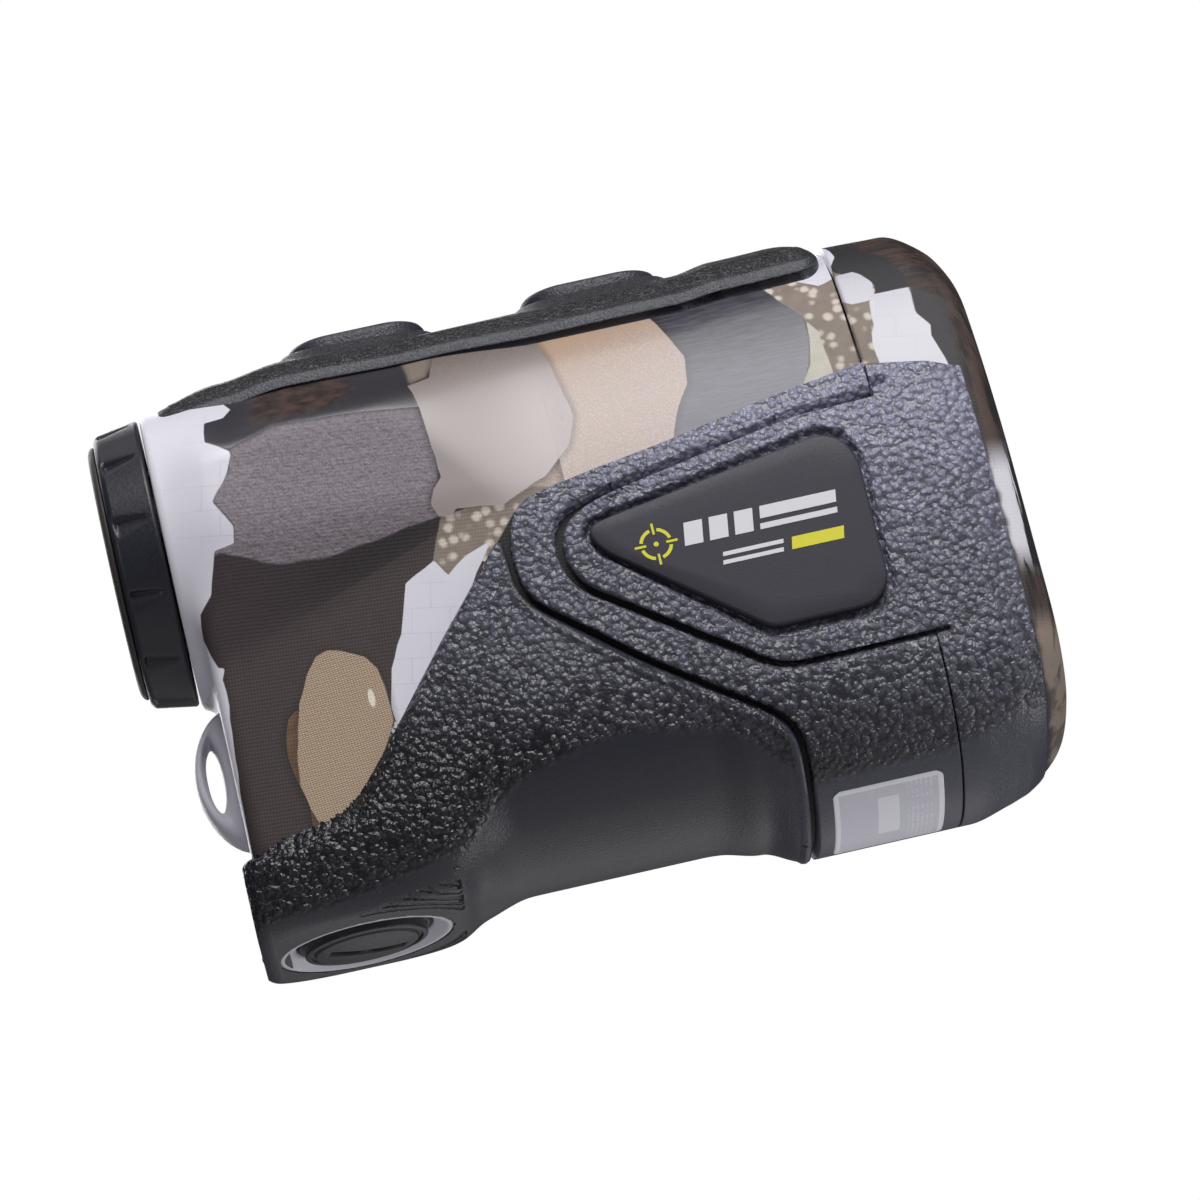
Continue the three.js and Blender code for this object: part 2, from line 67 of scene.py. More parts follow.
def radius_of(node):
    """The radius of a round CAD node that stands upright."""
    return (extent(node, 0, 1) - extent(node, 0, 0)) / 2


# ---- driving dimensions, from the frame ----
FRONT = extent("front_bezel", 0, 1)
SEAM = extent("front_bezel", 0, 0)
COLLAR_REAR = extent("right_shell", 0, 0)
RING_REAR = extent("diopter_ring", 0, 0)
RING_FRONT = extent("diopter_ring", 0, 1)
CUP_REAR = extent("eyecup", 0, 0)
AXIS_Z = middle("objective_lens", 2)
LASER_Z = middle("laser_lens", 2)
CELL_X = middle("battery_cell", 0)
DOOR_Z = extent("cap_ring", 2, 0)
PORT_R = radius_of("cap_ring")
BUTTON_X = {key: middle(f"{key}_button", 0) for key in ("measure", "mode")}
BUTTON_TOP = extent("measure_button", 2, 1)
STRIP_FRONT = extent("top_strip", 0, 1)
STRIP_Y = extent("top_strip", 1, 1)
CHEEK_Y = extent("left_shell", 1, 1)

# ---- dimensions of the case, and its top and base lines as (x, z) points ----
REAR = -44.1  # the rear wall
CORE_Z = 37.0  # height of the line that rays start from
COLLAR_R = 17.9
RUBBER = 1.35  # how far the grips stand off the case
TOP = [
    (-47, 67), (-36, 69.6), (-28, 70.7), (-10, 70.1), (20, 70.6), (25, 71.4), (37.6, 71.7),
    (39, 73), (46, 72.8), (51, 71.2), (53, 70.4),
]
BASE = [
    (-47, 3.3), (-22, 3.3), (-18, 4), (-12, 4.6), (8, 4.6), (15, 3.6), (20, 1.4), (40, 1.4),
    (47, 2.9), (53, 5),
]

# ---- the case as an implicit surface ----


def along(table, x):
    """Smooth value at x through a table of (place, value)."""
    places, values = np.array(table, float).T
    x = np.clip(x, places[0], places[-1])
    i = np.clip(np.searchsorted(places, x) - 1, 0, len(places) - 2)
    t = (x - places[i]) / (places[i + 1] - places[i])
    return values[i] + (values[i + 1] - values[i]) * t * t * (3 - 2 * t)


def soft_max(a, b, soft):
    close = np.maximum(soft - np.abs(a - b), 0) / soft
    return np.maximum(a, b) + close * close * soft / 4


def soft_min(a, b, soft):
    return -soft_max(-a, -b, soft)


def step(x, low, high):
    """0 below low, 1 above high, smooth between."""
    t = np.clip((x - low) / (high - low), 0, 1)
    return t * t * (3 - 2 * t)


def last_inside(outside, low, high, rounds):
    """Where outside(value) turns true between low and high, found by halving."""
    for _ in range(rounds):
        half = (low + high) / 2
        out = outside(half)
        low, high = np.where(out, low, half), np.where(out, half, high)
    return low


def flanks(x, y, z):
    """Distance outside the case's sides, top and base, as if it ran on for ever along X."""
    flank = np.minimum(15.1 + (x - REAR) * 0.105, 19.1)
    undercut = 9.24 + 0.032 * x + 0.219 * z
    half = soft_min(CHEEK_Y + 0 * x, soft_max(undercut, flank, 0.5), 0.5)
    side = np.abs(y) - half
    bevel_at = 54.1 + 0.6 * step(x, -38, -30) + 1.3 * step(x, -18, 0)
    bevel = 0.738 * np.abs(y) + 0.676 * z - bevel_at
    shoulder = soft_max(side, bevel, 1.6 + 16 * step(x, -20, 2))
    top = z - along(TOP, x) + 0.02 * y * y
    base = along(BASE, x) + 0.02 * step(x, 8, 20) * y * y - z
    scoop = step(x, -24, -13) * (1 - step(x, 10, 20))
    recess = 0.72 * (np.abs(y) - 19.6) - 0.69 * (z - 13.4) - 7 * (1 - scoop)
    under = soft_max(base, recess, 9)
    return soft_max(soft_max(shoulder, top, 5), under, 7)


def case(x, y, z):
    """Distance outside the case halves: flanks, rear wall and eyepiece collar."""
    rear_edge = 2.2 + 5.5 * step(z, 36, 48)
    body = soft_max(flanks(x, y, z), REAR - x, rear_edge)
    collar = np.hypot(y, z - AXIS_Z) - COLLAR_R + 0.9 * np.clip((x + 40) / 4, 0, 6)
    collar = soft_max(collar, COLLAR_REAR - x, 0.9)
    return soft_min(body, collar, 3.2)


def bezel(x, y, z):
    """Distance outside the front bezel, whose front edge is well rounded."""
    edge = 4.5 + 3.0 * step(z, 58, 68)
    return soft_max(flanks(x, y, z), x - FRONT, edge)


def plinth(x, y, z):
    """The rubber block round the battery port."""
    sides = soft_max(np.abs(y) - 14.6, np.abs(x + 33.5) - 12.2, 8)
    return soft_max(sides, DOOR_Z + 0.6 - z, 3)


def reach(solid, x, angle, offset=0.0, core=CORE_Z):
    """Points on the surface solid == offset, on rays in the planes across X from the height core."""
    x, angle, offset = np.broadcast_arrays(np.asarray(x, float), angle, offset)

    def beyond(r):
        return solid(x, r * np.cos(angle), core + r * np.sin(angle)) > offset
    r = last_inside(beyond, np.zeros(x.shape), np.full(x.shape, 60.0), 26)
    return np.stack([x, r * np.cos(angle), core + r * np.sin(angle)], -1)


def rings(solid, xs, angles, offset=0.0, core=CORE_Z, most=0.6):
    """Cross-sections at xs, with more rings laid between any that lie far apart."""
    points = reach(solid, np.asarray(xs, float)[:, None], angles[None, :], offset, core)
    out = [points[0]]
    for a, b in zip(points, points[1:]):
        parts = int(np.ceil(np.linalg.norm(b - a, axis=1).max() / most))
        out += [a + (b - a) * k / parts for k in range(1, parts + 1)]
    return np.array(out)


def outline_distance(x, z, outline):
    """Distance inside an outline of (x, z) points: positive inside, negative outside."""
    outline = np.array(outline, float)
    p = np.stack([x, z], -1).reshape(-1, 2)
    nearest = np.full(len(p), 1e9)
    inside = np.zeros(len(p), bool)
    for a, b in zip(outline, np.roll(outline, -1, 0)):
        edge, to = b - a, p - a
        t = np.clip(to @ edge / (edge @ edge), 0, 1)
        nearest = np.minimum(nearest, np.linalg.norm(to - t[:, None] * edge, axis=1))
        crosses = (a[1] > p[:, 1]) != (b[1] > p[:, 1])
        rise = b[1] - a[1] if b[1] != a[1] else 1e-9
        inside ^= crosses & (p[:, 0] < a[0] + (p[:, 1] - a[1]) * edge[0] / rise)
    return np.where(inside, nearest, -nearest).reshape(np.shape(x))


def corner(before, at, after, radius, parts):
    """The curve that cuts a corner, as points, from radius before it to radius after it."""
    start, end = (at + (other - at) * min(radius / max(np.linalg.norm(other - at), 1e-6), 0.45)
                  for other in (before, after))
    return [(1 - t) ** 2 * start + 2 * t * (1 - t) * at + t * t * end
            for t in np.linspace(0, 1, parts + 1)]


def rounded_outline(outline, radius, parts):
    """A closed outline with every corner cut by a curve."""
    outline = np.array(outline, float)
    out = []
    for before, at, after in zip(np.roll(outline, 1, 0), outline, np.roll(outline, -1, 0)):
        out += corner(before, at, after, radius, parts)
    return out


def soft_profile(profile, radius, parts=3):
    """An open profile whose inner corners are cut by curves."""
    profile = np.array(profile, float)
    out = [profile[0]]
    for before, at, after in zip(profile, profile[1:], profile[2:]):
        out += corner(before, at, after, radius, parts)
    return np.array(out + [profile[-1]])


# ---- meshes ----


def grid_faces(rows, columns, closed=False):
    """Quads over a grid of points; a closed grid joins its last column to its first."""
    across = np.arange(columns if closed else columns - 1)
    r, c = np.meshgrid(np.arange(rows - 1), across, indexing="ij")
    a = r * columns + c
    b = r * columns + (c + 1) % columns
    return np.stack([a, b, b + columns, a + columns], -1).reshape(-1, 4)


def piece(name, points, faces, body, material, stands_for=(), values=None, smooth=True):
    """A mesh from points in millimetres that rides on a body and stands for CAD nodes."""
    mesh = bpy.data.meshes.new(name)
    points = np.asarray(points, float).reshape(-1, 3) * MM
    mesh.from_pydata(points, [], [list(map(int, face)) for face in faces])
    mesh.update()
    for key, data in (values or {}).items():
        attribute = mesh.attributes.new(key, "FLOAT", "POINT")
        attribute.data.foreach_set("value", np.asarray(data, np.float32).ravel())
    mesh.polygons.foreach_set("use_smooth", np.full(len(mesh.polygons), smooth))
    mesh.materials.append(material)
    obj = bpy.data.objects.new(name, mesh)
    bpy.context.scene.collection.objects.link(obj)
    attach(obj, body)
    if stands_for:
        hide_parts(*stands_for)
    return obj


def ringed(name, points, body, material, stands_for, values=None):
    """A piece from a grid of points whose rows are closed rings."""
    faces = grid_faces(*points.shape[:2], True)
    return piece(name, points, faces, body, material, stands_for, values)


def keep(points, faces, wanted):
    """Only the faces with a wanted vertex, the vertices that they use, and the numbers those had."""
    faces = faces[wanted.ravel()[faces].any(1)]
    used = np.unique(faces)
    renumber = np.zeros(points.reshape(-1, 3).shape[0], int)
    renumber[used] = np.arange(len(used))
    return points.reshape(-1, 3)[used], renumber[faces], used


def turned(name, profile, axis, at, body, material, sides=128, stands_for=(), slot=None, values=None):
    """A profile of (place along the axis, radius) turned about the x or z axis through at."""
    profile = np.array(profile, float)
    angles = np.linspace(0, 2 * np.pi, sides, endpoint=False)
    points = np.zeros((len(profile), sides, 3))
    along_axis, first, second = {"x": (0, 1, 2), "z": (2, 0, 1)}[axis]
    points[..., along_axis] = profile[:, :1]
    points[..., first] = profile[:, 1:] * np.cos(angles)
    points[..., second] = profile[:, 1:] * np.sin(angles)
    return ringed(name, points + np.array(at), body, material, stands_for, values)


# ---- materials ----


def rgb(code):
    """A hex colour as linear RGBA."""
    parts = [int(code[i:i + 2], 16) / 255 for i in (0, 2, 4)]
    return tuple(c / 12.92 if c <= 0.04045 else ((c + 0.055) / 1.055) ** 2.4 for c in parts) + (1.0,)


class Shade:
    """One material's node tree. Each method adds a node and returns its output.

    Places and sizes are in millimetres.
    """

    def __init__(self, name, **surface):
        self.material = bpy.data.materials.new(name)
        self.material.use_nodes = True
        self.tree = self.material.node_tree
        self.surface = self.tree.nodes["Principled BSDF"]
        coords = self.tree.nodes.new("ShaderNodeTexCoord").outputs["Object"]
        self.at = self.vector("MULTIPLY", coords, (1 / MM,) * 3)
        split = self.add("SeparateXYZ", {0: self.at})
        self.x, self.y, self.z = split.outputs
        self.set(**surface)

    def add(self, kind, inputs, **settings):
        node = self.tree.nodes.new("ShaderNode" + kind)
        for key, value in settings.items():
            setattr(node, key, value)
        for key, value in inputs.items():
            self.join(value, node.inputs[key])
        return node

    def join(self, value, socket):
        """Links an output to the socket, or sets a number, a tuple or a hex colour on it."""
        if isinstance(value, bpy.types.NodeSocket):
            self.tree.links.new(value, socket)
        else:
            socket.default_value = rgb(value) if isinstance(value, str) else value

    def set(self, **inputs):
        for key, value in inputs.items():
            self.join(value, self.surface.inputs[key.replace("_", " ")])

    def math(self, operation, *values):
        return self.add("Math", dict(enumerate(values)), operation=operation).outputs[0]

    def plus(self, a, b):
        return self.math("ADD", a, b)

    def minus(self, a, b):
        return self.math("SUBTRACT", a, b)

    def times(self, a, b):
        return self.math("MULTIPLY", a, b)

    def most(self, a, b):
        return self.math("MAXIMUM", a, b)

    def gap(self, a, b):
        """How far apart two values are."""
        return self.math("ABSOLUTE", self.minus(a, b))

    def vector(self, operation, *values):
        return self.add("VectorMath", dict(enumerate(values)), operation=operation).outputs[0]

    def noise(self, scale, detail=3.0, rough=0.5, at=None, output="Fac"):
        inputs = {"Vector": at or self.at, "Scale": scale, "Detail": detail, "Roughness": rough}
        return self.add("TexNoise", inputs).outputs[output]

    def drawn_out(self, factors, scale, detail=4.0, rough=0.6):
        """Noise drawn out along the axes whose factor is small."""
        return self.noise(scale, detail, rough, self.vector("MULTIPLY", self.at, factors))

    def cells(self, scale, at=None):
        inputs = {"Vector": at or self.at, "Scale": scale}
        return self.add("TexVoronoi", inputs).outputs["Distance"]

    def waves(self, at, scale, distortion=1.5, detail=2.0, direction="X"):
        inputs = {"Vector": at, "Scale": scale, "Distortion": distortion, "Detail": detail}
        return self.add("TexWave", inputs, bands_direction=direction).outputs["Fac"]

    def mix(self, factor, a, b, blend="MIX"):
        inputs = {0: factor, 6: a, 7: b}
        return self.add("Mix", inputs, data_type="RGBA", blend_type=blend).outputs[2]

    def ramp(self, value, low, high, to_low=0.0, to_high=1.0):
        inputs = {0: value, 1: low, 2: high, 3: to_low, 4: to_high}
        return self.add("MapRange", inputs, interpolation_type="SMOOTHSTEP").outputs[0]

    def value(self, name):
        """A value that the mesh carries at each point."""
        return self.add("Attribute", {}, attribute_name=name).outputs["Fac"]

    def bump(self, height, depth):
        """Raises the surface by height times depth, in millimetres."""
        inputs = {"Height": height, "Distance": depth * MM, "Strength": 1.0}
        return self.add("Bump", inputs).outputs[0]

    def warped(self, amount, scale):
        """The place, moved about by noise."""
        colour = self.noise(scale, 2.0, output="Color")
        shift = self.vector("MULTIPLY_ADD", colour, (2 * amount,) * 3, (-amount,) * 3)
        return self.vector("ADD", self.at, shift)

    def flat(self, turn=0.0):
        """The side view's plane as a flat place (x, z, 0), turned by some degrees."""
        place = self.add("CombineXYZ", {0: self.x, 1: self.z, 2: 0.0}).outputs[0]
        return self.add("Mapping", {"Vector": place, "Rotation": (0, 0, math.radians(turn))}).outputs[0]


def rubber():
    """Moulded rubber: leather-like pebbles where the value "pebble" is 1, a fine grain elsewhere.

    The value "tread" lays grooves in arcs round the battery cap, painted near black as shade in them.
    """
    s = Shade("grip_rubber", Specular_IOR_Level=0.55)
    inputs = {"Vector": s.warped(0.3, 1.6), "Scale": 1.2, "Smoothness": 0.35}
    cells = s.add("TexVoronoi", inputs, feature="SMOOTH_F1")
    mound = s.ramp(cells.outputs["Distance"], 0.75, 0.1)
    fine = s.noise(3.2, 4.0, 0.6)
    mask = s.value("pebble")
    height = s.plus(mound, s.times(s.noise(1.5, 1.0, 0.4), 0.8))
    height = s.times(height, mask)
    height = s.plus(height, s.times(fine, s.ramp(mask, 0.0, 1.0, 0.4, 0.05)))
    tread = s.value("tread")
    height = s.minus(height, s.times(tread, 3.0))
    # Painted light: the pebbled rubber is painted darker low down and lighter higher up and further
    # forward.
    height_up = s.plus(s.z, s.times(s.x, 0.3))
    painted_light_tone = s.mix(s.ramp(height_up, 8.0, 34.0), "15151e", "5d5d6b")
    painted_light_tone = s.mix(s.ramp(height_up, 32.0, 60.0), painted_light_tone, "8c8ca2")
    # Painted light: the smooth rubber is painted lighter towards the front.
    smooth = s.mix(s.ramp(s.x, 14.0, 24.0), "25262f", "3a3b49")
    tone = s.mix(mask, smooth, painted_light_tone)
    # Painted shade: the creases between the pebbles and the tread's grooves are painted near black.
    dark = s.times(s.ramp(mound, 0.0, 0.4, 0.6, 0.0), mask)
    s.set(Base_Color=s.mix(s.most(dark, tread), tone, "050507"))
    s.set(Roughness=s.ramp(fine, 0.2, 0.8, 0.27, 0.38), Normal=s.bump(height, 0.24))
    return s.material


def plain(name, tone, rough=0.45, metal=0.0, grain=2.0, depth=0.02, vary=0.15, **more):
    """Plain moulded or turned stuff: slight colour and roughness variation and a fine grain."""
    s = Shade(name, Metallic=metal, **more)
    fine = s.noise(grain, 4.0, 0.6)
    dark = tuple(c * (1 - vary) for c in rgb(tone)[:3]) + (1.0,)
    s.set(Base_Color=s.mix(s.noise(0.3), dark, tone), Normal=s.bump(fine, depth))
    s.set(Roughness=s.ramp(fine, 0.2, 0.8, rough - 0.07, rough + 0.07))
    return s.material


def glass(name, tint, coat):
    """A coated lens: dark within, with a coloured reflection from its tinted coat, and the coat's
    colour also painted into the base colour towards the edges as a painted reflection.
    """
    s = Shade(name, Roughness=0.03, Coat_Weight=1.0, Coat_Roughness=0.02, IOR=1.52)
    facing = s.add("LayerWeight", {"Blend": 0.35}).outputs["Facing"]
    s.set(Base_Color=s.mix(facing, tint, coat), Transmission_Weight=0.85)
    s.set(Coat_Tint=coat, Normal=s.bump(s.noise(0.2), 0.002))
    return s.material


# Each patch of the print, and each patch of painted shade, is an outline of (x, z) in side view, in
# millimetres.
PATCHES = {
    "canvas": [
        (-47, 74), (-47, 44), (-40, 46.3), (-34, 43.6), (-28, 43), (-14, 44.8), (-13, 52),
        (-14, 74),
    ],
    # The band under the strip: partly print, partly painted shade.
    "upper": [
        (-47, 74), (-39, 60), (-36.5, 58.4), (-31, 60.2), (-22, 59.6), (-13.5, 58.6),
        (-13.5, 74),
    ],
    "mottle": [(-33, 62), (-30, 61), (-23, 61.6), (-20.5, 64), (-22.5, 70), (-32, 70)],
    "olive": [(-14.2, 70), (-14, 62.5), (-12, 63.2), (-10, 66), (-9, 70)],
    "tan": [
        (1, 74), (1, 44), (13, 44), (14.5, 47.8), (15.6, 51), (17.9, 55), (18.5, 58.8),
        (17.3, 62.2), (15.8, 66), (15, 74),
    ],
    "under_tan": [(-9, 47), (-9, 41), (3, 41), (14, 47), (2, 49)],
    "charcoal": [
        (15.8, 74), (13, 44), (33, 48), (31, 51), (32.4, 54), (33.4, 57.5), (33.5, 61),
        (31.2, 64), (30.4, 65.6), (29, 68), (29, 74),
    ],
    "cream": [
        (-11.5, 63), (-9.5, 70), (1, 70), (2.9, 61.5), (3.9, 54), (2.4, 50.2), (-1, 47),
        (-4.8, 45.4), (-6.8, 44.4), (-9.4, 45), (-12.2, 45.3), (-12.6, 44.7), (-14.2, 44.7),
        (-14.9, 46.5), (-14.2, 48.2), (-13, 49.4), (-13.1, 52), (-13.5, 56.4), (-13.9, 60.9),
        (-14.3, 62.2),
    ],
    "spots_low": [
        (-12.5, 44.9), (-9.4, 45.1), (-6.8, 44.5), (-3, 46), (2, 45), (-6, 40), (-10, 38),
        (-12.3, 39.4), (-14.8, 37.7), (-16.1, 39.9), (-14.1, 44.8),
    ],
    "spots_front": [
        (29, 68), (34, 70), (43, 63), (41.7, 60), (41.2, 57.4), (40.6, 56), (40.4, 53.6),
        (41, 50), (30, 48), (31, 51), (32.4, 54), (33.5, 57.5), (33.5, 60.9), (31.3, 63.8),
        (30.4, 65.6),
    ],
    "lichen": [
        (33.7, 60), (34.6, 58.4), (34.9, 53), (34.8, 49), (30, 49), (31, 51.2), (32.6, 54),
        (33.4, 57.4),
    ],
    "white_rear": [
        (-36.2, 74), (-36.2, 67.6), (-35.2, 65.3), (-36.3, 63.9), (-38.6, 63.6), (-39, 60.3),
        (-36.2, 58), (-37.2, 55.6), (-39.6, 52.5), (-37.8, 49), (-38.2, 47.1), (-40.6, 46.8),
        (-42.1, 42), (-43.8, 40.4), (-44.1, 37.6), (-43.6, 35.2), (-43.1, 33.7), (-42.4, 33.4),
        (-42.9, 32.2), (-42.8, 28.9), (-43.3, 24.2), (-43.7, 19.2), (-44, 10), (-60, 10),
        (-60, 74),
    ],
    "white_mid": [
        (-16, 39.9), (-14.8, 37.7), (-12.3, 39.5), (-9, 40.6), (-18, 28), (-26, 20),
        (-24.5, 22.3), (-24.6, 24), (-23.6, 28.4), (-21.6, 32.2), (-20.9, 34.4), (-19.8, 38),
    ],
    "white_a": [
        (33.6, 68.7), (36, 74), (38.6, 74), (39.6, 69), (38.7, 67.5), (38.5, 65.5),
        (36.5, 64.8), (35.6, 65.4), (33.5, 66.7),
    ],
    "white_c": [
        (38.7, 65.7), (40.9, 65.8), (41.6, 65.2), (42.7, 63.6), (42.4, 61.8), (41.6, 61),
        (39.5, 61), (38.6, 61.6), (38.2, 62.9),
    ],
    "white_d": [
        (42.2, 61.8), (46.9, 61.7), (46.7, 60.5), (46.5, 57.9), (47.7, 55.8), (47.4, 54.3),
        (47.9, 52.1), (48.4, 49), (41, 49), (40.4, 53.8), (40.7, 56.5), (41.2, 57.3),
        (41.6, 60.9),
    ],
    "weave": [
        (-30.4, 32.5), (-29, 32.1), (-27.5, 31.3), (-26.3, 30.6), (-25.2, 28.9), (-24.8, 26.5),
        (-24.7, 22.4), (-28, 16), (-31.6, 11), (-35.4, 12), (-36.2, 14.5), (-36.8, 17.5),
        (-36.3, 21.4), (-34.9, 27), (-33.3, 30.2), (-31.8, 32.1),
    ],
    "weave_shade": [
        (-34.9, 26.9), (-36.6, 25.7), (-37.3, 23.7), (-37.6, 21.1), (-37, 17.4), (-36.4, 15.4),
        (-36.7, 11), (-33, 11), (-35, 18),
    ],
    "bark": [
        (41.3, 74), (43, 69), (45.2, 67.2), (46.7, 63.5), (47, 60), (47, 57.7), (50, 58),
        (51.8, 56), (54, 56), (54, 74),
    ],
    "bezel_top": [
        (39.3, 74), (39.8, 68.8), (38.7, 66), (41.2, 66.2), (42.9, 63.6), (42.6, 61.9),
        (47, 61.9), (46.6, 64), (45, 67.4), (42.4, 69.3), (41, 74),
    ],
    "bezel_mauve": [
        (46.6, 62), (46.5, 57.9), (47.8, 55.8), (47.5, 54.3), (48, 52.1), (48.6, 48), (54, 46),
        (54, 57), (49, 60),
    ],
}

# The outlines of the grips, the pad and the name plate, in the same way.
GRIP_REAR = [
    (-60, -9), (-60, 10.4), (-43.9, 10.5), (-40.2, 11.7), (-32.4, 13.1), (-29.2, 16.1),
    (-25, 21), (-17.7, 29.9), (-8.6, 40.2), (-8, 39), (-7.9, 34.2), (-6.4, 31.3), (4.8, 22.1),
    (18.2, 12.9), (19.9, 10.3), (20.1, -9),
]
GRIP_FRONT = [
    (20.7, -9), (20.7, 10.7), (19, 13.5), (5.4, 22.8), (-5.9, 32), (-7.2, 34.6), (-7.3, 39.5),
    (-5.8, 43.4), (-1.9, 44.7), (4.3, 45.8), (14.1, 47.3), (26.8, 49.8), (41, 51.9), (41, 48.4),
    (28.3, 47.1), (4.1, 42.85), (0.1, 41.6), (-1.7, 39.4), (-2, 35.7), (-0.4, 32.4),
    (9.2, 25.6), (18.8, 19), (21.5, 18.2), (41, 18.6), (41, -9),
]
PAD = [
    (60, 19.1), (21.6, 18.8), (19, 19.6), (9.5, 26.1), (0, 32.8), (-1.4, 36), (-1.1, 39.2),
    (0.7, 41.1), (4.5, 42.5), (28.4, 46.8), (60, 47.8),
]
BEZEL_GRIP = [(36, -9), (36, 51.9), (49.8, 49.4), (50, 12), (49.3, -9)]
NAME_PLATE = [
    (2, 38.3), (2.8, 39.4), (31, 44.3), (33.5, 43.1), (34.8, 40.3), (34.7, 25), (32.8, 22.9),
    (31.1, 22.5), (20.8, 22.4), (19.6, 22.9), (3.2, 36),
]


def camo():
    """The camouflage print: patches over each other, each with a surface of its own, with painted shade
    and a painted highlight in places.
    """
    s = Shade("camo_print", Specular_IOR_Level=0.5)
    fine, mottle, broad = s.noise(2.6, 6.0, 0.65), s.noise(0.5, 4.0, 0.6), s.noise(0.08, 2.0)
    # The dark brown cloth that the patches lie on, darker below the crease of the side: partly the
    # print's own darker brown, partly painted shade on the undercut facet.
    threads = s.waves(s.flat(6), 0.9)
    across = s.waves(s.flat(96), 0.7)
    cloth = s.times(threads, across)
    colour = s.mix(mottle, "2c2122", "3a2d2d")
    colour = s.mix(s.times(cloth, 0.3), colour, "4b3c3a")
    crease = s.plus(47.9, s.times(s.x, 0.333))
    above_crease = s.ramp(s.minus(s.z, crease), -0.12, 0.12)
    undercut_print_and_shade = s.mix(s.ramp(s.x, -40.0, -22.0), "31262a", "181214")
    undercut_print_and_shade = s.mix(s.ramp(fine, 0.3, 0.7, 0.0, 0.4), undercut_print_and_shade, "3a2d2f")
    colour = s.mix(above_crease, colour, undercut_print_and_shade)

    def lay(base, patch, tone, edge=0.06, shade=0.0, strength=1.0):
        """Lays a patch over the base, with its shade cast round it."""
        inside = s.value(patch)
        if shade:
            base = s.mix(s.ramp(inside, -1.1, 0.0, 0.0, shade), base, "15110f")
        amount = s.ramp(inside, -edge, edge, 0.0, strength)
        return s.mix(amount, base, tone)

    # The rear: grey felt, and the dark patches above it: the band under the strip, partly print and
    # partly painted shade, a rust mottle and an olive piece.
    felt = s.mix(s.ramp(fine, 0.3, 0.7), "6e656c", "898189")
    felt = s.mix(s.ramp(s.z, 50.0, 44.0, 0.0, 0.25), felt, "453c3c")
    colour = lay(colour, "canvas", felt, 0.25)
    colour = lay(colour, "upper", s.mix(fine, "242228", "343138"), 0.8)
    rust = s.mix(s.ramp(mottle, 0.35, 0.65), "241a18", "4d3930")
    colour = lay(colour, "mottle", rust, 1.2, strength=0.9)
    colour = lay(colour, "olive", "766a60", 0.3)
    # The middle: streaked slate, leathery tan, spotted patches and cream.
    leather = s.ramp(s.cells(3.4), 0.1, 0.6)
    streaked = s.drawn_out((0.25, 1.0, 3.0), 1.4)
    # Painted shade: the slate is painted darker towards the top.
    slate = s.mix(s.ramp(s.z, 53.0, 63.0), "524f5b", "2b2831")
    slate = s.mix(s.ramp(streaked, 0.35, 0.7, 0.0, 0.35), slate, "716d7b")
    colour = lay(colour, "charcoal", slate, 0.08)
    tan = s.mix(leather, "bdaca5", "a7968f")
    # Partly the tan's own orange-brown, partly painted shade: the tan is painted deeper towards the top
    # left.
    tan_top = s.ramp(s.minus(s.z, s.times(s.x, 0.35)), 52.0, 66.0, 0.0, 0.8)
    tan = s.mix(tan_top, tan, "a68a6e")
    tan = s.mix(s.times(s.ramp(mottle, 0.4, 0.7), 0.25), tan, "b59a83")
    colour = lay(colour, "under_tan", tan, 0.2)
    colour = lay(colour, "tan", tan, 0.06, 0.4)
    spot = s.cells(0.62, s.warped(0.3, 0.7))
    spot = s.ramp(spot, 0.2, 0.5, 1.0, 0.0)
    spots = s.mix(spot, s.mix(mottle, "6d5f55", "8f8379"), "c9beb2")
    colour = lay(colour, "spots_low", spots, 0.1)
    colour = lay(colour, "spots_front", spots, 0.12)
    colour = lay(colour, "lichen", s.mix(mottle, "a9a598", "cfcabd"), 0.1)
    cream = s.mix(s.ramp(s.x, -13.0, 3.0), "958b89", "a79d9b")
    # Painted shade: the cream is painted darker towards the top.
    cream = s.mix(s.ramp(s.z, 57.0, 67.5, 0.0, 0.8), cream, "594f48")
    cream = s.mix(s.ramp(fine, 0.35, 0.75, 0.0, 0.3), cream, "9d918a")
    colour = lay(colour, "cream", cream, 0.06, 0.4)
    # White, with faint blocks in it.
    blocks = s.add("TexBrick", {
        "Vector": s.flat(12), "Scale": 0.14, "Brick Width": 0.62, "Row Height": 0.42,
        "Mortar Size": 0.014, "Mortar Smooth": 0.8, "Mortar": (0.86, 0.86, 0.89, 1),
        "Color1": (1, 1, 1, 1), "Color2": (0.96, 0.96, 0.97, 1),
    }).outputs["Color"]
    white = s.mix(s.ramp(broad, 0.45, 0.6, 0.0, 1.0), "d6d4dd", blocks, "MULTIPLY")
    for patch in ("white_rear", "white_mid", "white_a"):
        colour = lay(colour, patch, white)
    for patch in ("white_c", "white_d"):
        colour = lay(colour, patch, s.mix(1.0, white, "e2e2e2", "MULTIPLY"))
    # The woven patch, a painted highlight on it like a drop of gloss, and a painted shadow beside it.
    lines = s.waves(s.flat(84), 1.25, 0.5, 1.0)
    cross = s.waves(s.flat(84), 1.0, 0.5, 1.0, "Y")
    threads = s.times(lines, s.plus(0.35, s.times(cross, 0.65)))
    weave = s.mix(s.ramp(threads, 0.15, 0.6), "84705d", "c0a88f")
    # A painted highlight: a pale oval on the weave.
    wide = s.math("POWER", s.math("DIVIDE", s.plus(s.x, 26.6), 0.45), 2.0)
    high = s.math("POWER", s.math("DIVIDE", s.minus(s.z, 25.6), 1.3), 2.0)
    weave = s.mix(s.ramp(s.plus(wide, high), 0.4, 1.0, 0.85, 0.0), weave, "e6dcd0")
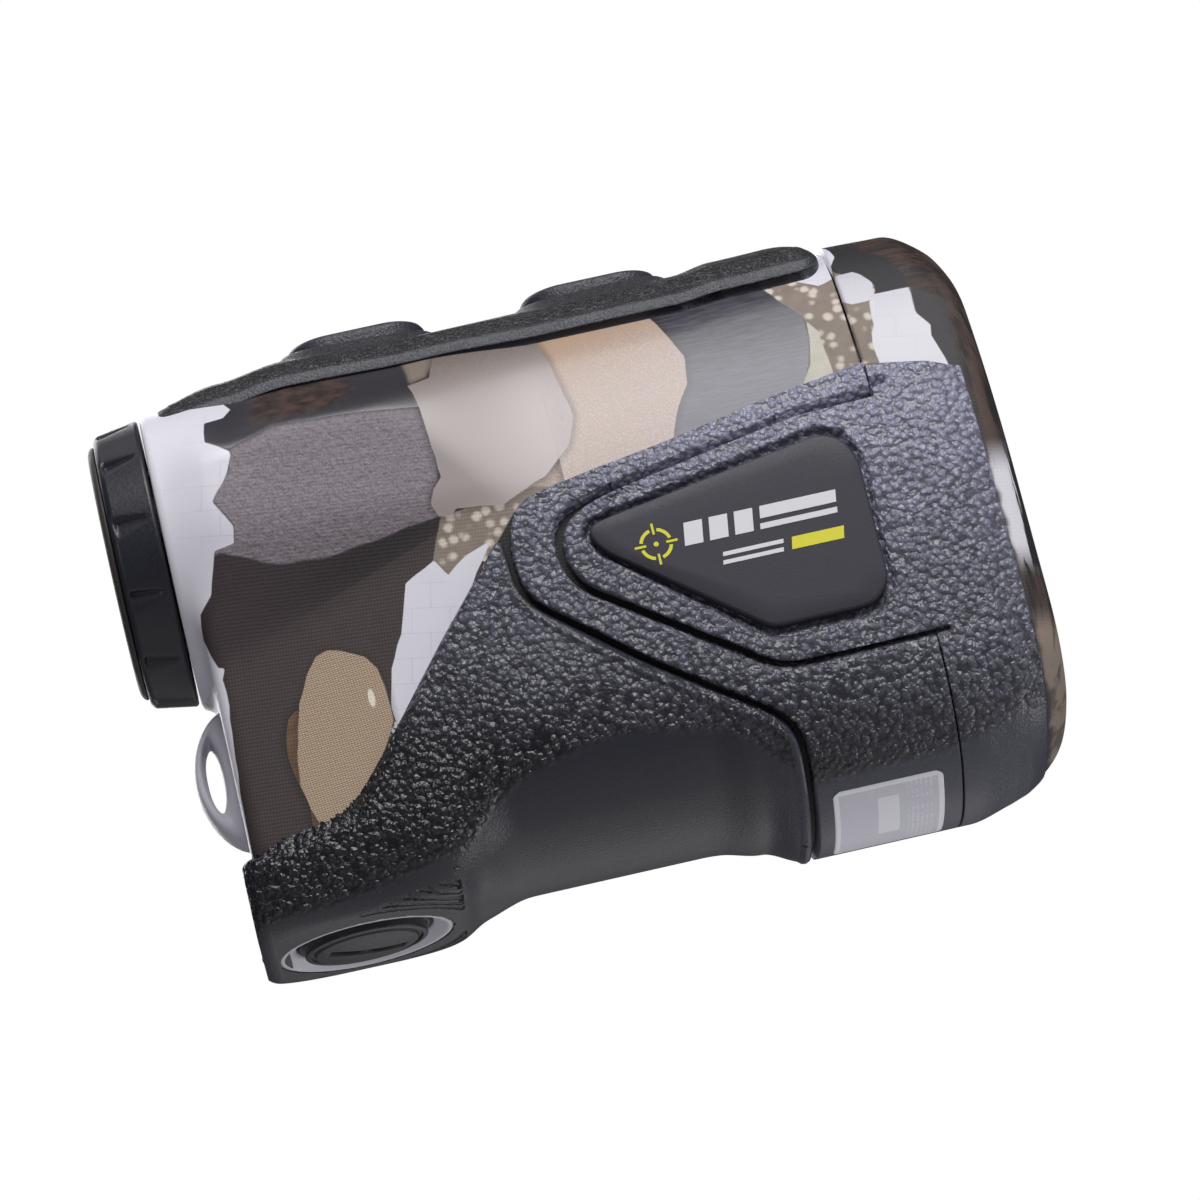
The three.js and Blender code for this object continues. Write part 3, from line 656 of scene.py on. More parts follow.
    # A painted shadow: the dark brown strip beside the weave, near black at its edges.
    weave_shadow_edge = s.ramp(s.math("ABSOLUTE", s.value("weave_shade")), 0.05, 0.22)
    weave_shadow = s.mix(weave_shadow_edge, "0c0807", s.mix(mottle, "33211a", "7d5a3e"))
    colour = lay(colour, "weave_shade", weave_shadow, 0.1, 0.5)
    colour = lay(colour, "weave", weave, 0.06, 0.35)
    # The bezel, and its streaked front edge with a white sliver at mid height and a pale foot.
    colour = lay(colour, "bezel_top", s.mix(mottle, "121013", "211d22"), 0.08)
    veins = s.drawn_out((0.25, 1.0, 1.5), 1.2, 5.0)
    wood = s.mix(s.ramp(veins, 0.35, 0.75), "151012", "4a3228")
    colour = lay(colour, "bark", wood, 0.3)
    colour = lay(colour, "bezel_mauve", s.mix(s.noise(0.6), "262226", "383338"), 0.15)
    torn_x = s.plus(s.x, s.times(s.noise(0.25, 3.0), 2.0))
    front = s.ramp(torn_x, FRONT - 2.4, FRONT - 1.6)
    streaks = s.drawn_out((1.0, 1.0, 0.12), 0.5)
    rim = s.mix(s.ramp(streaks, 0.4, 0.6), "141113", "4b3b35")
    mid_height = s.ramp(s.gap(s.z, 31.0), 4.0, 9.0, 1.0, 0.0)
    sliver = s.times(mid_height, s.ramp(streaks, 0.44, 0.5))
    rim = s.mix(sliver, rim, "d8d6de")
    foot = s.times(s.ramp(s.z, 19.0, 15.0), s.ramp(streaks, 0.4, 0.5, 0.4, 1.0))
    rim = s.mix(foot, rim, "8d7f74")
    colour = s.mix(s.times(front, s.ramp(s.z, 60.0, 56.0, 0.6, 0.95)), colour, rim)
    # Black under the grips, then gloss and relief.
    colour = s.mix(s.ramp(s.value("grip"), 0.1, 0.3), colour, "08080a")
    pebble = s.times(s.ramp(s.value("tan"), -0.1, 0.1), leather)
    canvas = s.ramp(s.value("canvas"), -0.2, 0.2)
    glossy = s.value("white_rear")
    others = ("white_mid", "white_a", "white_c", "white_d", "cream", "tan", "charcoal", "upper")
    for patch in others:
        glossy = s.most(glossy, s.value(patch))
    rough = s.plus(s.ramp(glossy, -0.1, 0.1, 0.6, 0.33), s.times(fine, 0.1))
    emboss = s.noise(1.1, 3.0, 0.6)
    ground = s.times(s.times(canvas, s.ramp(glossy, -0.2, 0.1, 1.0, 0.03)), emboss)
    height = s.plus(s.times(ground, 3.2), s.times(fine, 0.12))
    height = s.plus(height, s.times(pebble, 0.14))
    height = s.plus(height, s.times(cloth, s.ramp(glossy, -0.1, 0.1, 0.3, 0.0)))
    s.set(Base_Color=colour, Roughness=rough, Normal=s.bump(height, 0.08))
    return s.material


# ---- pieces on the case ----


def degrees(low, high, count):
    return np.radians(np.linspace(low, high, count))


def spaced(low, high, gap):
    return np.linspace(low, high, int(np.ceil((high - low) / gap)) + 1)


def whole(x, y, z):
    """Distance outside the case and bezel together."""
    return np.where(x < 0, case(x, y, z), bezel(x, y, z))


def wavy(outline, amount=0.12, pace=1.3):
    """The outline with its long edges made slightly uneven, as the print's torn edges are."""
    out = []
    outline = np.array(outline, float)
    for a, b in zip(outline, np.roll(outline, -1, 0)):
        length = np.linalg.norm(b - a)
        parts = max(1, int(length / pace)) if length < 30 else 1
        across = np.array([a[1] - b[1], b[0] - a[0]]) / max(length, 1e-6)
        for k in range(parts):
            p = a + (b - a) * k / parts
            bend = math.sin(p[0] * 3.1 + p[1] * 2.3) + math.sin(p[0] * 1.3 - p[1] * 4.7)
            out.append(p + across * bend * amount * (k > 0) / 2)
    return out


WAVY = {key: wavy(outline) for key, outline in PATCHES.items()}
REAR_EDGE, FRONT_EDGE, PAD_EDGE = (rounded_outline(outline, 1.8, 2)
                                   for outline in (GRIP_REAR, GRIP_FRONT, PAD))


def covered(x, z):
    """How far inside the rubber-covered area, its grooves included, a place is in side view."""
    upper_edge = GRIP_REAR[:9] + GRIP_FRONT[7:12] + [(38.4, 51.4)]
    return outline_distance(x, z, upper_edge + BEZEL_GRIP[2:])


def print_values(points):
    """How far inside each patch of the print, and inside the grips, each point is."""
    x, z = points[..., 0], points[..., 2]
    values = {key: outline_distance(x, z, outline) for key, outline in WAVY.items()}
    values["grip"] = covered(x, z)
    return values


def with_lips(points, depth=1.2):
    """A grid of rings with a small inward turn along its first and last columns."""
    x = points[:, 0, 0]
    centre = np.stack([x, 0 * x, 0 * x + CORE_Z], -1)[:, None]

    def inward(edge):
        span = np.linalg.norm(centre - edge, axis=-1, keepdims=True)
        return edge + (centre - edge) * depth / np.maximum(span, depth)
    return np.concatenate([inward(points[:, :1]), points, inward(points[:, -1:])], 1)


camo_plastic = camo()
black_plastic = plain("black_plastic", "1b1c22", 0.42, grain=3.0, depth=0.03)
grip_rubber = rubber()

PORT_HOLE = 9.3  # radius of the hole in the shells for the battery port
SPLIT_GAP = 0.12  # from the middle plane to each half of the shell
HUB_R = 12.0  # the shells close in to this radius behind the diopter ring
SHELL_X = [COLLAR_REAR + 0.01, -46, -45.8, -45.4, -44.9, -44.5, -44.3, -44.2, -44.15, -44.12]
SHELL_X += [-44.099, -44, -43.9, -43.7, -43.4] + list(spaced(-43, SEAM - 0.35, 0.45))
for side, sign, low, high in (("left", 1, -90, 90), ("right", -1, 90, 270)):
    shell = rings(case, SHELL_X, degrees(low, high, 230))
    shell[..., 1] = sign * np.maximum(sign * shell[..., 1], SPLIT_GAP)
    hub = np.array([COLLAR_REAR, 0, AXIS_Z])
    to_hub = shell[0] - hub
    inner = hub + to_hub * HUB_R / np.linalg.norm(to_hub, axis=1, keepdims=True)
    lip = shell[-1] + (np.array([SEAM, 0, CORE_Z]) - shell[-1]) * 0.05
    shell = with_lips(np.concatenate([inner[None], shell, lip[None]]))
    from_port = np.hypot(shell[..., 0] - CELL_X, shell[..., 1])
    over_port = (from_port < PORT_HOLE) & (shell[..., 2] < 12)
    pushed = np.where(over_port, PORT_HOLE / np.maximum(from_port, 0.1), 1.0)
    shell[..., 0] = CELL_X + (shell[..., 0] - CELL_X) * pushed
    shell[..., 1] *= pushed
    points, faces, used = keep(shell, grid_faces(*shell.shape[:2]), ~over_port)
    painted = {key: data.ravel()[used] for key, data in print_values(shell).items()}
    piece(f"{side}_shell_print", points, faces, "housing", camo_plastic, [f"{side}_shell"],
          painted)

# The bezel: its sides, the rounded front edge as far in as the front plate, the wall down beside
# the plate, and a flange behind it.
WALL_X, FLANGE_X = 50.6, 50.1
around = degrees(-90, 270, 461)[:-1]
bezel_x = list(spaced(SEAM, 46.5, 0.45)) + list(spaced(46.8, FRONT - 2.6, 0.3))
sides = rings(bezel, bezel_x, around)
rim = reach(flanks, 51.0, around, -3.3)
span, rim_span = (np.linalg.norm(ring[:, 1:] - [0, CORE_Z], axis=1) for ring in (sides[-1], rim))
front_rings = []
for t in np.linspace(0, 1, 22)[1:]:
    r = span + (rim_span - span) * t
    y, z = r * np.cos(around), CORE_Z + r * np.sin(around)
    x = last_inside(lambda x: bezel(x, y, z) > 0, np.full(r.shape, 45.0), np.full(r.shape, 60.0), 30)
    front_rings.append(np.stack([x, y, z], -1))
wall = np.repeat(front_rings[-1][None], 3, 0)
wall[..., 0] = [[WALL_X], [FLANGE_X], [FLANGE_X]]
wall[2] += (np.array([FLANGE_X, 0, CORE_Z]) - wall[2]) * 0.05
lip = sides[0] + (np.array([SEAM, 0, CORE_Z]) - sides[0]) * 0.04
bezel_points = np.concatenate([lip[None], sides, front_rings, wall])
ringed("front_bezel_print", bezel_points, "housing", camo_plastic, ["front_bezel"],
       print_values(bezel_points))

# The front plate: rings about the core line, open where the two lens rings stand.
spokes = np.concatenate([[0.0004], np.linspace(0.02, 1, 60)])[:, None, None]
flat_rim = (rim - [0, 0, CORE_Z]) * [0, 1, 1] * spokes * 0.992
plate_points = np.array([0, 0, CORE_Z]) + flat_rim + [FRONT - 0.9, 0, 0]
plate_points[-1, :, 0] -= 0.5
plate_points = np.concatenate([plate_points, plate_points[-1:] - [1.2, 0, 0]])[::-1]
plate_y, plate_z = plate_points[..., 1], plate_points[..., 2]
outside_lenses = np.minimum(np.hypot(plate_y, plate_z - AXIS_Z) - 12.0,
                            np.hypot(plate_y, plate_z - LASER_Z) - 8.6)
points, faces, _ = keep(plate_points, grid_faces(*plate_y.shape, True), outside_lenses > 0)
piece("front_face_plate", points, faces, "housing", black_plastic, ["front_plate"])


def pebbled(points):
    """1 where the rubber is pebbled, 0 where it is smooth: the belly and the recess."""
    bounds = [
        (-46, 2.5), (-36, 3), (-26, 4.5), (-19.7, 5.7), (-15.3, 10), (-11.3, 12.2), (-4.4, 13.8),
        (1.9, 14.2), (11.7, 12.2), (14.7, 10.1), (19, 6.3), (20.9, 4.5), (38, 5), (50, 8),
    ]
    lowest = np.interp(points[..., 0], *np.array(bounds, float).T)
    return step(points[..., 2] - lowest, -0.6, 0.9)


def quarter_round(t):
    """The height of a quarter-round edge, from 0 at t = 0 to 1 at t = 1."""
    return np.sqrt(np.maximum(1 - (1 - t) ** 2, 0))


def edge_height(distance, radius=0.3, sink=0.5):
    """The rise of a quarter-round edge inside an outline, and how far it is sunk outside."""
    inside = distance > 0.02
    rise = quarter_round(np.clip(distance / radius, 0, 1))
    return np.where(inside, rise, 0), np.where(inside, 0, sink)


def snapped(solid, xs, angles, distance, fixed, gap=0.33):
    """A ray grid whose points near an outline are moved onto it, and onto lines alongside it.

    distance(x, z) is the distance inside the outline. Rings between the two fixed places on X
    keep their x.
    """
    x, angle = np.meshgrid(xs, angles, indexing="ij")
    held = (x > fixed[0]) & (x < fixed[1])
    for _ in range(3):
        points = reach(solid, x, angle)
        at_x, at_y, at_z = points[..., 0], points[..., 1], points[..., 2]
        d = distance(at_x, at_z)
        slope_x = (distance(at_x + 0.04, at_z) - distance(at_x - 0.04, at_z)) / 0.08
        slope_z = (distance(at_x, at_z + 0.04) - distance(at_x, at_z - 0.04)) / 0.08
        near = (d > -1.5 * gap) & (d < 3.5 * gap)
        move = np.where(near, np.round(d / gap) * gap - d, 0)
        turned_by = np.arctan2(at_z + move * slope_z - CORE_Z, at_y)
        turned_by -= np.arctan2(at_z - CORE_Z, at_y)
        x = np.where(held, x, x + move * slope_x)
        angle = angle + (turned_by + np.pi) % (2 * np.pi) - np.pi
    return x, angle


def cover(name, solid, xs, distance, height, node, fixed, skip=None, over=None):
    """Rubber laid over a solid: height(x, z) is how far it stands off, below zero for none.

    over(lift), where given, is the solid that the rubber follows instead, and skip(points) says
    where it is open.
    """
    angles = degrees(-228, 48, 640)
    x, angle = snapped(solid, xs, angles, distance, fixed)
    base = reach(solid, x, angle)
    lift = height(base[..., 0], base[..., 2])
    points = reach(over(lift), x, angle) if over else reach(solid, x, angle, lift)
    wanted = lift > -0.45
    if skip is not None:
        wanted &= ~skip(points)
    shown, faces, _ = keep(points, grid_faces(*points.shape[:2]), wanted)
    values = {"pebble": pebbled(shown), "tread": tread(shown)}
    if over:
        values["pebble"] *= 1 - beside_groove(shown)
    return piece(name, shown, faces, "housing", grip_rubber, [node], values)


def seam_edge(depth):
    """A small round edge at a seam: 1 a little way inside it, and 0 outside."""
    return quarter_round(np.clip(depth / 0.12, 0, 1))


SPLIT = SEAM - 0.2  # where the rubber of the front grip ends and the bezel's begins
GROOVE_ENDS = [((36, 48.1), (39.8, 48.7)), ((36, 18.75), (39.8, 18.8))]


def near_groove(x, z):
    """How near a place is to the ends of the groove round the pad, past the seam."""
    nearest = np.full(np.shape(x), 9.0)
    for (x0, z0), (x1, z1) in GROOVE_ENDS:
        along_x, along_z = x1 - x0, z1 - z0
        t = ((x - x0) * along_x + (z - z0) * along_z) / (along_x ** 2 + along_z ** 2)
        t = np.clip(t, 0, 1)
        nearest = np.minimum(nearest, np.hypot(x - x0 - t * along_x, z - z0 - t * along_z))
    return 1 - step(nearest, 0.25, 0.6)


def front_distance(x, z):
    return outline_distance(x, z, FRONT_EDGE)


def front_height(x, z):
    rise, sink = edge_height(front_distance(x, z))
    gone = x > SPLIT - 0.001
    return np.where(gone, -0.5, RUBBER * rise * seam_edge(SPLIT - x) - sink)


def pad_distance(x, z):
    pad, ahead = (outline_distance(x, z, outline) for outline in (PAD_EDGE, BEZEL_GRIP))
    return np.where(x < SPLIT, pad, ahead)


def pad_height(x, z):
    """The pad behind the seam, the bezel's grip ahead of it, and the pocket of the name plate."""
    rise, sink = edge_height(outline_distance(x, z, PAD_EDGE))
    pad = np.where(x < 42, RUBBER * rise - sink, -0.5)
    rise, sink = edge_height(outline_distance(x, z, BEZEL_GRIP), 0.6)
    ahead = RUBBER * rise * seam_edge(x - SPLIT - 0.03) - sink
    ahead = np.where(x > SPLIT + 0.031, ahead, -0.5)
    pocket = step(outline_distance(x, z, NAME_PLATE), -0.7, -0.35)
    ahead = np.where(ahead > 0, ahead * (1 - 0.72 * step(x, 45, 49.8)), ahead)
    grooved = 0.9 * near_groove(x, z) * (x > SPLIT + 0.05)
    return np.maximum(pad, ahead) * (1 - 0.75 * pocket) - grooved


def rear_distance(x, z):
    """Distance inside the rear grip, which reaches a little nearer the front grip than its outline."""
    return outline_distance(x, z, REAR_EDGE) + 0.45 * step(x, -9, -7.5)


def rear_height(x, z):
    d = rear_distance(x, z)
    rise, sink = edge_height(d)
    band = step(d, 0.2, 0.5) * (1 - step(d, 1.1, 1.4)) * step(x, -9.5, -7.5)
    return RUBBER * rise + 0.25 * band - sink


def beside_groove(points):
    """1 on the smooth band of the rear grip along its groove."""
    d = rear_distance(points[..., 0], points[..., 2])
    return (1 - step(d, 1.2, 1.5)) * step(points[..., 0], -9.5, -7.5)


TREAD_R, TREAD_GAP = 13.1, 1.15  # the first arc of the tread, and from one arc to the next


def tread(points):
    """1 in the grooves that run in arcs beside the battery cap, 0 elsewhere."""
    x, y, z = points[..., 0], points[..., 1], points[..., 2]
    r = np.hypot(x - CELL_X, y)
    turns = (r - TREAD_R) / TREAD_GAP
    arc = np.abs(turns - np.round(turns)) * TREAD_GAP
    starts = (r - TREAD_R) * 2.1
    ends = step(x, -33.2 + starts, -32.6 + starts) * (1 - step(x, -21.55, -21.35))
    line = (1 - step(arc, 0.16, 0.3)) * ends
    every_other = np.floor((r - 12.5) / TREAD_GAP) % 2 == 0
    close = (1 - step(np.abs(x + 21.4), 0.12, 0.22)) * every_other
    return np.maximum(line, close) * step(r, 12.8, 13) * (1 - step(r, 19.4, 19.6)) * (z < 9)


def with_plinth(lift):
    return lambda x, y, z: soft_min(case(x, y, z) - lift, plinth(x, y, z), 2.5)


def in_port(points):
    from_port = np.hypot(points[..., 0] - CELL_X, points[..., 1])
    return (from_port < PORT_R + 0.15) & (points[..., 2] < 9)


GRID = 0.33  # from one ring of rubber points to the next
up_to_split = SPLIT - np.array([0.25, 0.15, 0.08, 0.03, 0.005, 0])
over_split = SPLIT + np.array([-0.1, 0, 0.02, 0.035, 0.06, 0.11, 0.18, 0.28])
front_x = np.concatenate([spaced(-7.9, SPLIT - 0.4, GRID), up_to_split])
pad_x = np.concatenate([spaced(-1.8, SPLIT - 0.3, GRID), over_split, spaced(SPLIT + 0.6, 51, GRID)])
cover("front_grip_cover", whole, front_x, front_distance, front_height, "front_grip",
      (SPLIT - 0.3, 99))
cover("bezel_grip_cover", whole, pad_x, pad_distance, pad_height, "bezel_grip",
      (SPLIT - 0.2, SPLIT + 0.4))
cover("rear_grip_cover", whole, spaced(-43.9, 20.6, GRID), rear_distance, rear_height, "rear_grip",
      (-99, -43.5), in_port, with_plinth)

END_Z = 6.5  # height of the middle of the rubber across the rear end


def rear_block(x, y, z):
    return soft_max(with_plinth(RUBBER)(x, y, z), z - 10.5, 1.2)


end_x = [-45.44, -45.42, -45.38, -45.3, -45, -44.6, -44.2, -43.9, -43.6]
end_angles = degrees(0, 360, 260)[:-1]
block = np.concatenate([
    rings(rear_block, end_x, end_angles, 0.0, END_Z, 0.5),
    rings(rear_block, [-43.5, -42.2], end_angles, -0.06, END_Z, 0.5),
])
hub = np.repeat(np.array([[[-45.45, 0, END_Z]]]), block.shape[1], 1)
block = np.concatenate([hub, block])
ringed("rear_grip_end", block, "housing", grip_rubber, (), {"pebble": pebbled(block)})

# ---- the strip and its buttons ----


def height_at(solid, x, y, offset=0.0):
    """The height of the surface solid == offset above each (x, y)."""
    return last_inside(lambda z: solid(x, y, z) > offset,
                       np.full(np.shape(x), 50.0), np.full(np.shape(x), 90.0), 28)


THICK = 2.5  # how far the strip stands off the case
STRIP_REAR = -43.7
EDGE_DROP = THICK + 0.1
strip_x = np.concatenate([
    STRIP_REAR + np.array([0, 0.02, 0.1, 0.25, 0.5, 0.8]),
    spaced(STRIP_REAR + 1.1, STRIP_FRONT - 1, 0.4),
    STRIP_FRONT - np.array([0.7, 0.4, 0.15, 0.05, 0]),
])
ends = np.minimum(strip_x - STRIP_REAR, STRIP_FRONT - strip_x)
corner_r = np.where(strip_x < 0, 0.9, 2.5)
short = np.clip(1 - ends / corner_r, 0, 1)
half_width = STRIP_Y - corner_r * (1 - np.sqrt(1 - short ** 2)) + 0.35 * np.sin(strip_x * 0.07)
v = np.sin(np.radians(np.linspace(90, -90, 91)))
gx = np.repeat(strip_x[:, None], len(v), 1)
gy = half_width[:, None] * v[None, :]
from_side = half_width[:, None] - np.abs(gy)
from_edge = np.minimum(from_side, ends[:, None] + 0 * gy)
roll = np.clip(from_side / 2.3, 0, 1)
nose = np.clip((STRIP_FRONT - gx) / 6, 0, 1)
strip_top = height_at(flanks, gx, gy, THICK)
gz = np.minimum(strip_top - EDGE_DROP * (1 - quarter_round(roll)),
                strip_top - EDGE_DROP * (1 - quarter_round(nose)))
gz += 0.12 * step(from_edge, 1.1, 1.6) * (1 - step(from_edge, 1.6, 2.2))
POCKET_LONG, POCKET_WIDE = 17.2, 10.6  # the dished ovals that the keys stand in
for at in BUTTON_X.values():
    past_middle = np.maximum(np.abs(gx - at) - (POCKET_LONG / 2 - POCKET_WIDE / 2), 0)
    from_oval = np.hypot(past_middle, gy) - POCKET_WIDE / 2
    gz -= 1.6 * (1 - step(from_oval, 0.3, 1.2))
deep = -0.4 - 1.6 * (1 - step(gx, STRIP_REAR, -31))
under = np.stack([gx, gy, height_at(flanks, gx, gy, deep)], -1)
loop = np.concatenate([np.stack([gx, gy, gz], -1), under[::-1]])
grained = step(from_edge, 0.2, 0.5)
grained = np.concatenate([grained, 0 * grained])
rows, columns = loop.shape[:2]
strip_faces = list(grid_faces(rows, columns))
for k in range(rows // 2 - 1):
    a, b, c, d = (row * columns for row in (k, k + 1, rows - 1 - k, rows - 2 - k))
    strip_faces.append((b, a, c, d))
    strip_faces.append(tuple(row + columns - 1 for row in (a, b, d, c)))
last_row = (rows - 1) * columns
strip_faces += [(k, k + 1, last_row + k + 1, last_row + k) for k in range(columns - 1)]


def strip_material():
    """Rubber with fine wavy cuts, drawn out along X, where the value "grain" is 1."""
    s = Shade("strip_rubber", Specular_IOR_Level=0.55)
    grain_at = s.vector("MULTIPLY", s.warped(1.0, 0.25), (0.45, 1.6, 1.6))
    wave = s.noise(1.25, 3.0, 0.55, grain_at)
    cuts = s.ramp(s.gap(s.math("FRACT", s.times(wave, 7.0)), 0.5), 0.03, 0.4)
    fine = s.noise(3.5, 3.0)
    mask = s.value("grain")
    uncut = s.minus(1.0, s.times(mask, s.minus(1.0, cuts)))
    height = s.plus(s.times(s.plus(wave, s.times(cuts, 0.5)), mask), s.times(fine, 0.5))
    # Painted shade: the cuts are painted near black.
    s.set(Base_Color=s.mix(uncut, "0c0c0f", s.mix(mask, "2f303a", "413f44")))
    s.set(Roughness=s.ramp(fine, 0.2, 0.8, 0.36, 0.52), Normal=s.bump(height, 0.3))
    return s.material


strip_rubber = strip_material()
piece("key_strip", loop, strip_faces, "housing", strip_rubber, ["top_strip"],
      {"grain": grained})
KEY_R, KEY_HALF, ROUND = 5.3, 3.3, 120  # a key's end radius, half its straight part, points round it


def oval_rings(at, insets):
    """Loops round an oval, each drawn in by its inset, as (x, y) points."""
    angles = degrees(0, 360, ROUND + 1)[:-1]
    out = []
    for inset in insets:
        r = max(KEY_R - inset, 0.05)
        x = at + np.sign(np.cos(angles)) * KEY_HALF * min(1, r) + r * np.cos(angles)
        out.append(np.stack([x, r * np.sin(angles)], -1))
    return np.array(out)


SKIRT = [  # the rim round a key's pocket: how far inside the key's edge, and how high
    (-2.6, -0.15), (-2.2, 0.05), (-1.7, 0.3), (-1.2, 0.75), (-0.9, 0.95), (-0.6, 0.9), (-0.45, 0.7),
    (-0.35, 0.3), (-0.33, -1.5),
]
KEY = [
    (0.05, -2.6), (0.02, -0.9), (0.05, -0.5), (0.3, -0.12), (0.7, 0), (1.1, -0.02), (1.5, -0.1),
    (1.7, -0.42), (1.9, -0.5), (2.3, -0.42), (3.0, -0.3), (3.8, -0.24), (4.6, -0.2), (5.25, -0.2),
]
for key, at in BUTTON_X.items():
    insets, lifts = np.array(SKIRT).T
    flat = oval_rings(at, insets)
    z = height_at(flanks, flat[..., 0], flat[..., 1], THICK) + lifts[:, None]
    skirt = np.concatenate([flat, z[..., None]], -1)
    ringed(f"{key}_skirt", skirt, "housing", strip_rubber, (),
           {"grain": np.full(z.shape, 0.6)})
    insets, lifts = np.array(KEY).T
    flat = oval_rings(at, insets)
    z = BUTTON_TOP - 0.02 + lifts[:, None] + 0 * flat[..., 0]
    key_top = np.concatenate([flat, z[..., None]], -1)
    key_faces = list(grid_faces(*z.shape, True))
    key_faces.append([(len(insets) - 1) * ROUND + k for k in range(ROUND)])
    piece(f"{key}_key", key_top, key_faces, f"{key}_key", strip_rubber, [f"{key}_button"],
          {"grain": np.repeat(step(insets, 1.7, 2.0)[:, None], ROUND, 1)})

# ---- eyepiece end ----
NOTCHES = 12
ring_x = np.concatenate([
    RING_REAR + np.array([0.02, 0, 0.08, 0.3]), spaced(RING_REAR + 0.6, RING_FRONT - 0.3, 0.18),
    [RING_FRONT - 0.1, RING_FRONT, RING_FRONT],
])
ring_r = np.interp(
    ring_x, [RING_REAR, RING_REAR + 0.3, RING_REAR + 0.6, RING_FRONT - 0.3, RING_FRONT],
    [16.1, 16.5, 16.7, 17.5, 17.25])
ring_r[[0, -1]] = 13.2
turn = degrees(0, 360, 769)[:-1]
place = ((turn * NOTCHES / (2 * np.pi) + 0.5) % 1 - 0.5) * 9.0
taper = np.clip((ring_x - RING_REAR - 0.7) / (RING_FRONT - 0.9 - RING_REAR - 0.7), 0, 1)
width = 2.4 - 1.75 * taper
into = np.clip((place[None, :] + 0.6) / width[:, None], -3, 1)
gouge = np.where(into < 0, np.exp(-(into / 0.22) ** 2), (1 - into) ** 1.6)
inside_ends = step(ring_x, RING_REAR + 0.45, RING_REAR + 0.9)
inside_ends = inside_ends * (1 - step(ring_x, RING_FRONT - 1.6, RING_FRONT - 0.7))
ring_r = ring_r[:, None] - 0.75 * gouge * (inside_ends * (1 - 0.6 * taper))[:, None]
ring_points = np.stack([np.repeat(ring_x[:, None], len(turn), 1), ring_r * np.cos(turn),
                        AXIS_Z + ring_r * np.sin(turn)], -1)
steel = plain("steel", "9a9ca0", 0.32, 1.0, grain=5.0)
cell_can = plain("cell_can", "3f4a5c", 0.3, 0.4, grain=2.0)
satin = plain("satin_rubber", "1c1d27", 0.4, grain=2.5, depth=0.03)
ringed("diopter_ring_body", ring_points, "diopter", satin, ["diopter_ring"])
cup = soft_profile([
    (-47, 11.8), (CUP_REAR + 1.2, 11.8), (CUP_REAR + 0.3, 12.2), (CUP_REAR, 12.9), (CUP_REAR, 14.6),
    (CUP_REAR + 0.3, 15.3), (-52.1, 15.6), (-52.1, 12.9), (-47, 12.8),
], 0.5)
cup_rubber = plain("cup_rubber", "3a3432", 0.55, grain=2.0, depth=0.05)
turned("eyecup_rubber", cup, "x", (0, 0, AXIS_Z), "diopter", cup_rubber, 160, ["eyecup"], "grip_rubber")

coated = glass("coated_glass", "20242c", "5a3a8a")
clear = glass("clear_glass", "4a5058", "8090a0")
for name, node, low, high, r, z, body, bulge in (
        ("objective_glass", "objective_lens", 46, 50.4, 10.2, AXIS_Z, "housing", 1.1),
        ("laser_glass", "laser_lens", 47, 50.6, 6.9, LASER_Z, "housing", 0.9),
        ("eye_glass", "eye_lens", -48.2, -43.6, 7.6, AXIS_Z, "eyepiece", 1.2)):
    t = np.linspace(0, 1, 14)[1:]
    profile = [(low, 0.02)] + [(low + bulge * k * k, r * k) for k in t]
    profile += [(high - bulge * k * k, r * k) for k in t[::-1]] + [(high, 0.02)]
    turned(name, profile, "x", (0, 0, z), body, coated, 96, [node], "coated_glass")
for name, node, z, r_in, r_out in (("objective_rim", "objective_ring", AXIS_Z, 10.3, 12.7),
                                   ("laser_rim", "laser_lens_ring", LASER_Z, 7.0, 9.2)):
    profile = soft_profile([
        (45.7, r_in - 0.6), (50.4, r_in), (51.2, r_in + 0.1), (51.5, r_in + 0.6), (51.9, r_in + 0.6),
        (52.2, r_in + 1.1), (52.6, r_in + 1.3), (52.6, r_out - 0.35), (52.3, r_out), (51.2, r_out),
        (50, r_out - 0.6), (44.5, r_out - 0.8),
    ], 0.2)
    turned(name, profile[::-1], "x", (0, 0, z), "housing", black_plastic, 160, [node], "black_plastic")

# ---- lanyard loop ----
pale = plain("pale_plastic", "cfced8", 0.42, grain=1.5, depth=0.03, vary=0.06)
t = np.linspace(0, 2 * np.pi, 97)[:-1]
hole = np.stack([-46.4 + 0.95 * np.cos(t), 24.6 + 4.15 * np.sin(t)], -1)
bulge = np.where(np.cos(t) < 0, -5.0 * np.abs(np.cos(t)) ** 1.3, 0.6 * np.cos(t))
outer = np.stack([-43.8 + bulge, 24.0 + 8.6 * np.sin(t)], -1)
centre, half = (hole + outer) / 2, (outer - hole) / 2
phi = np.linspace(0, 2 * np.pi, 41)[:-1]
across, upright = (np.sign(wave) * np.abs(wave) ** 0.75 for wave in (np.cos(phi), np.sin(phi)))
loop_points = np.zeros((len(t), len(phi), 3))
loop_points[..., 0] = centre[:, None, 0] + half[:, None, 0] * across
loop_points[..., 2] = centre[:, None, 1] + half[:, None, 1] * across
loop_points[..., 1] = 2.9 * upright


def loop_index(row, column):
    """A point's number in the loop, which closes both ways."""
    return row % len(t) * len(phi) + column % len(phi)


r, c = np.meshgrid(np.arange(len(t)), np.arange(len(phi)), indexing="ij")
loop_faces = np.stack([loop_index(r, c), loop_index(r + 1, c), loop_index(r + 1, c + 1),
                       loop_index(r, c + 1)], -1)
piece("lanyard_bar", loop_points, loop_faces.reshape(-1, 4), "housing", pale, ["lanyard_loop"])

# ---- battery door, its cap and the cell ----


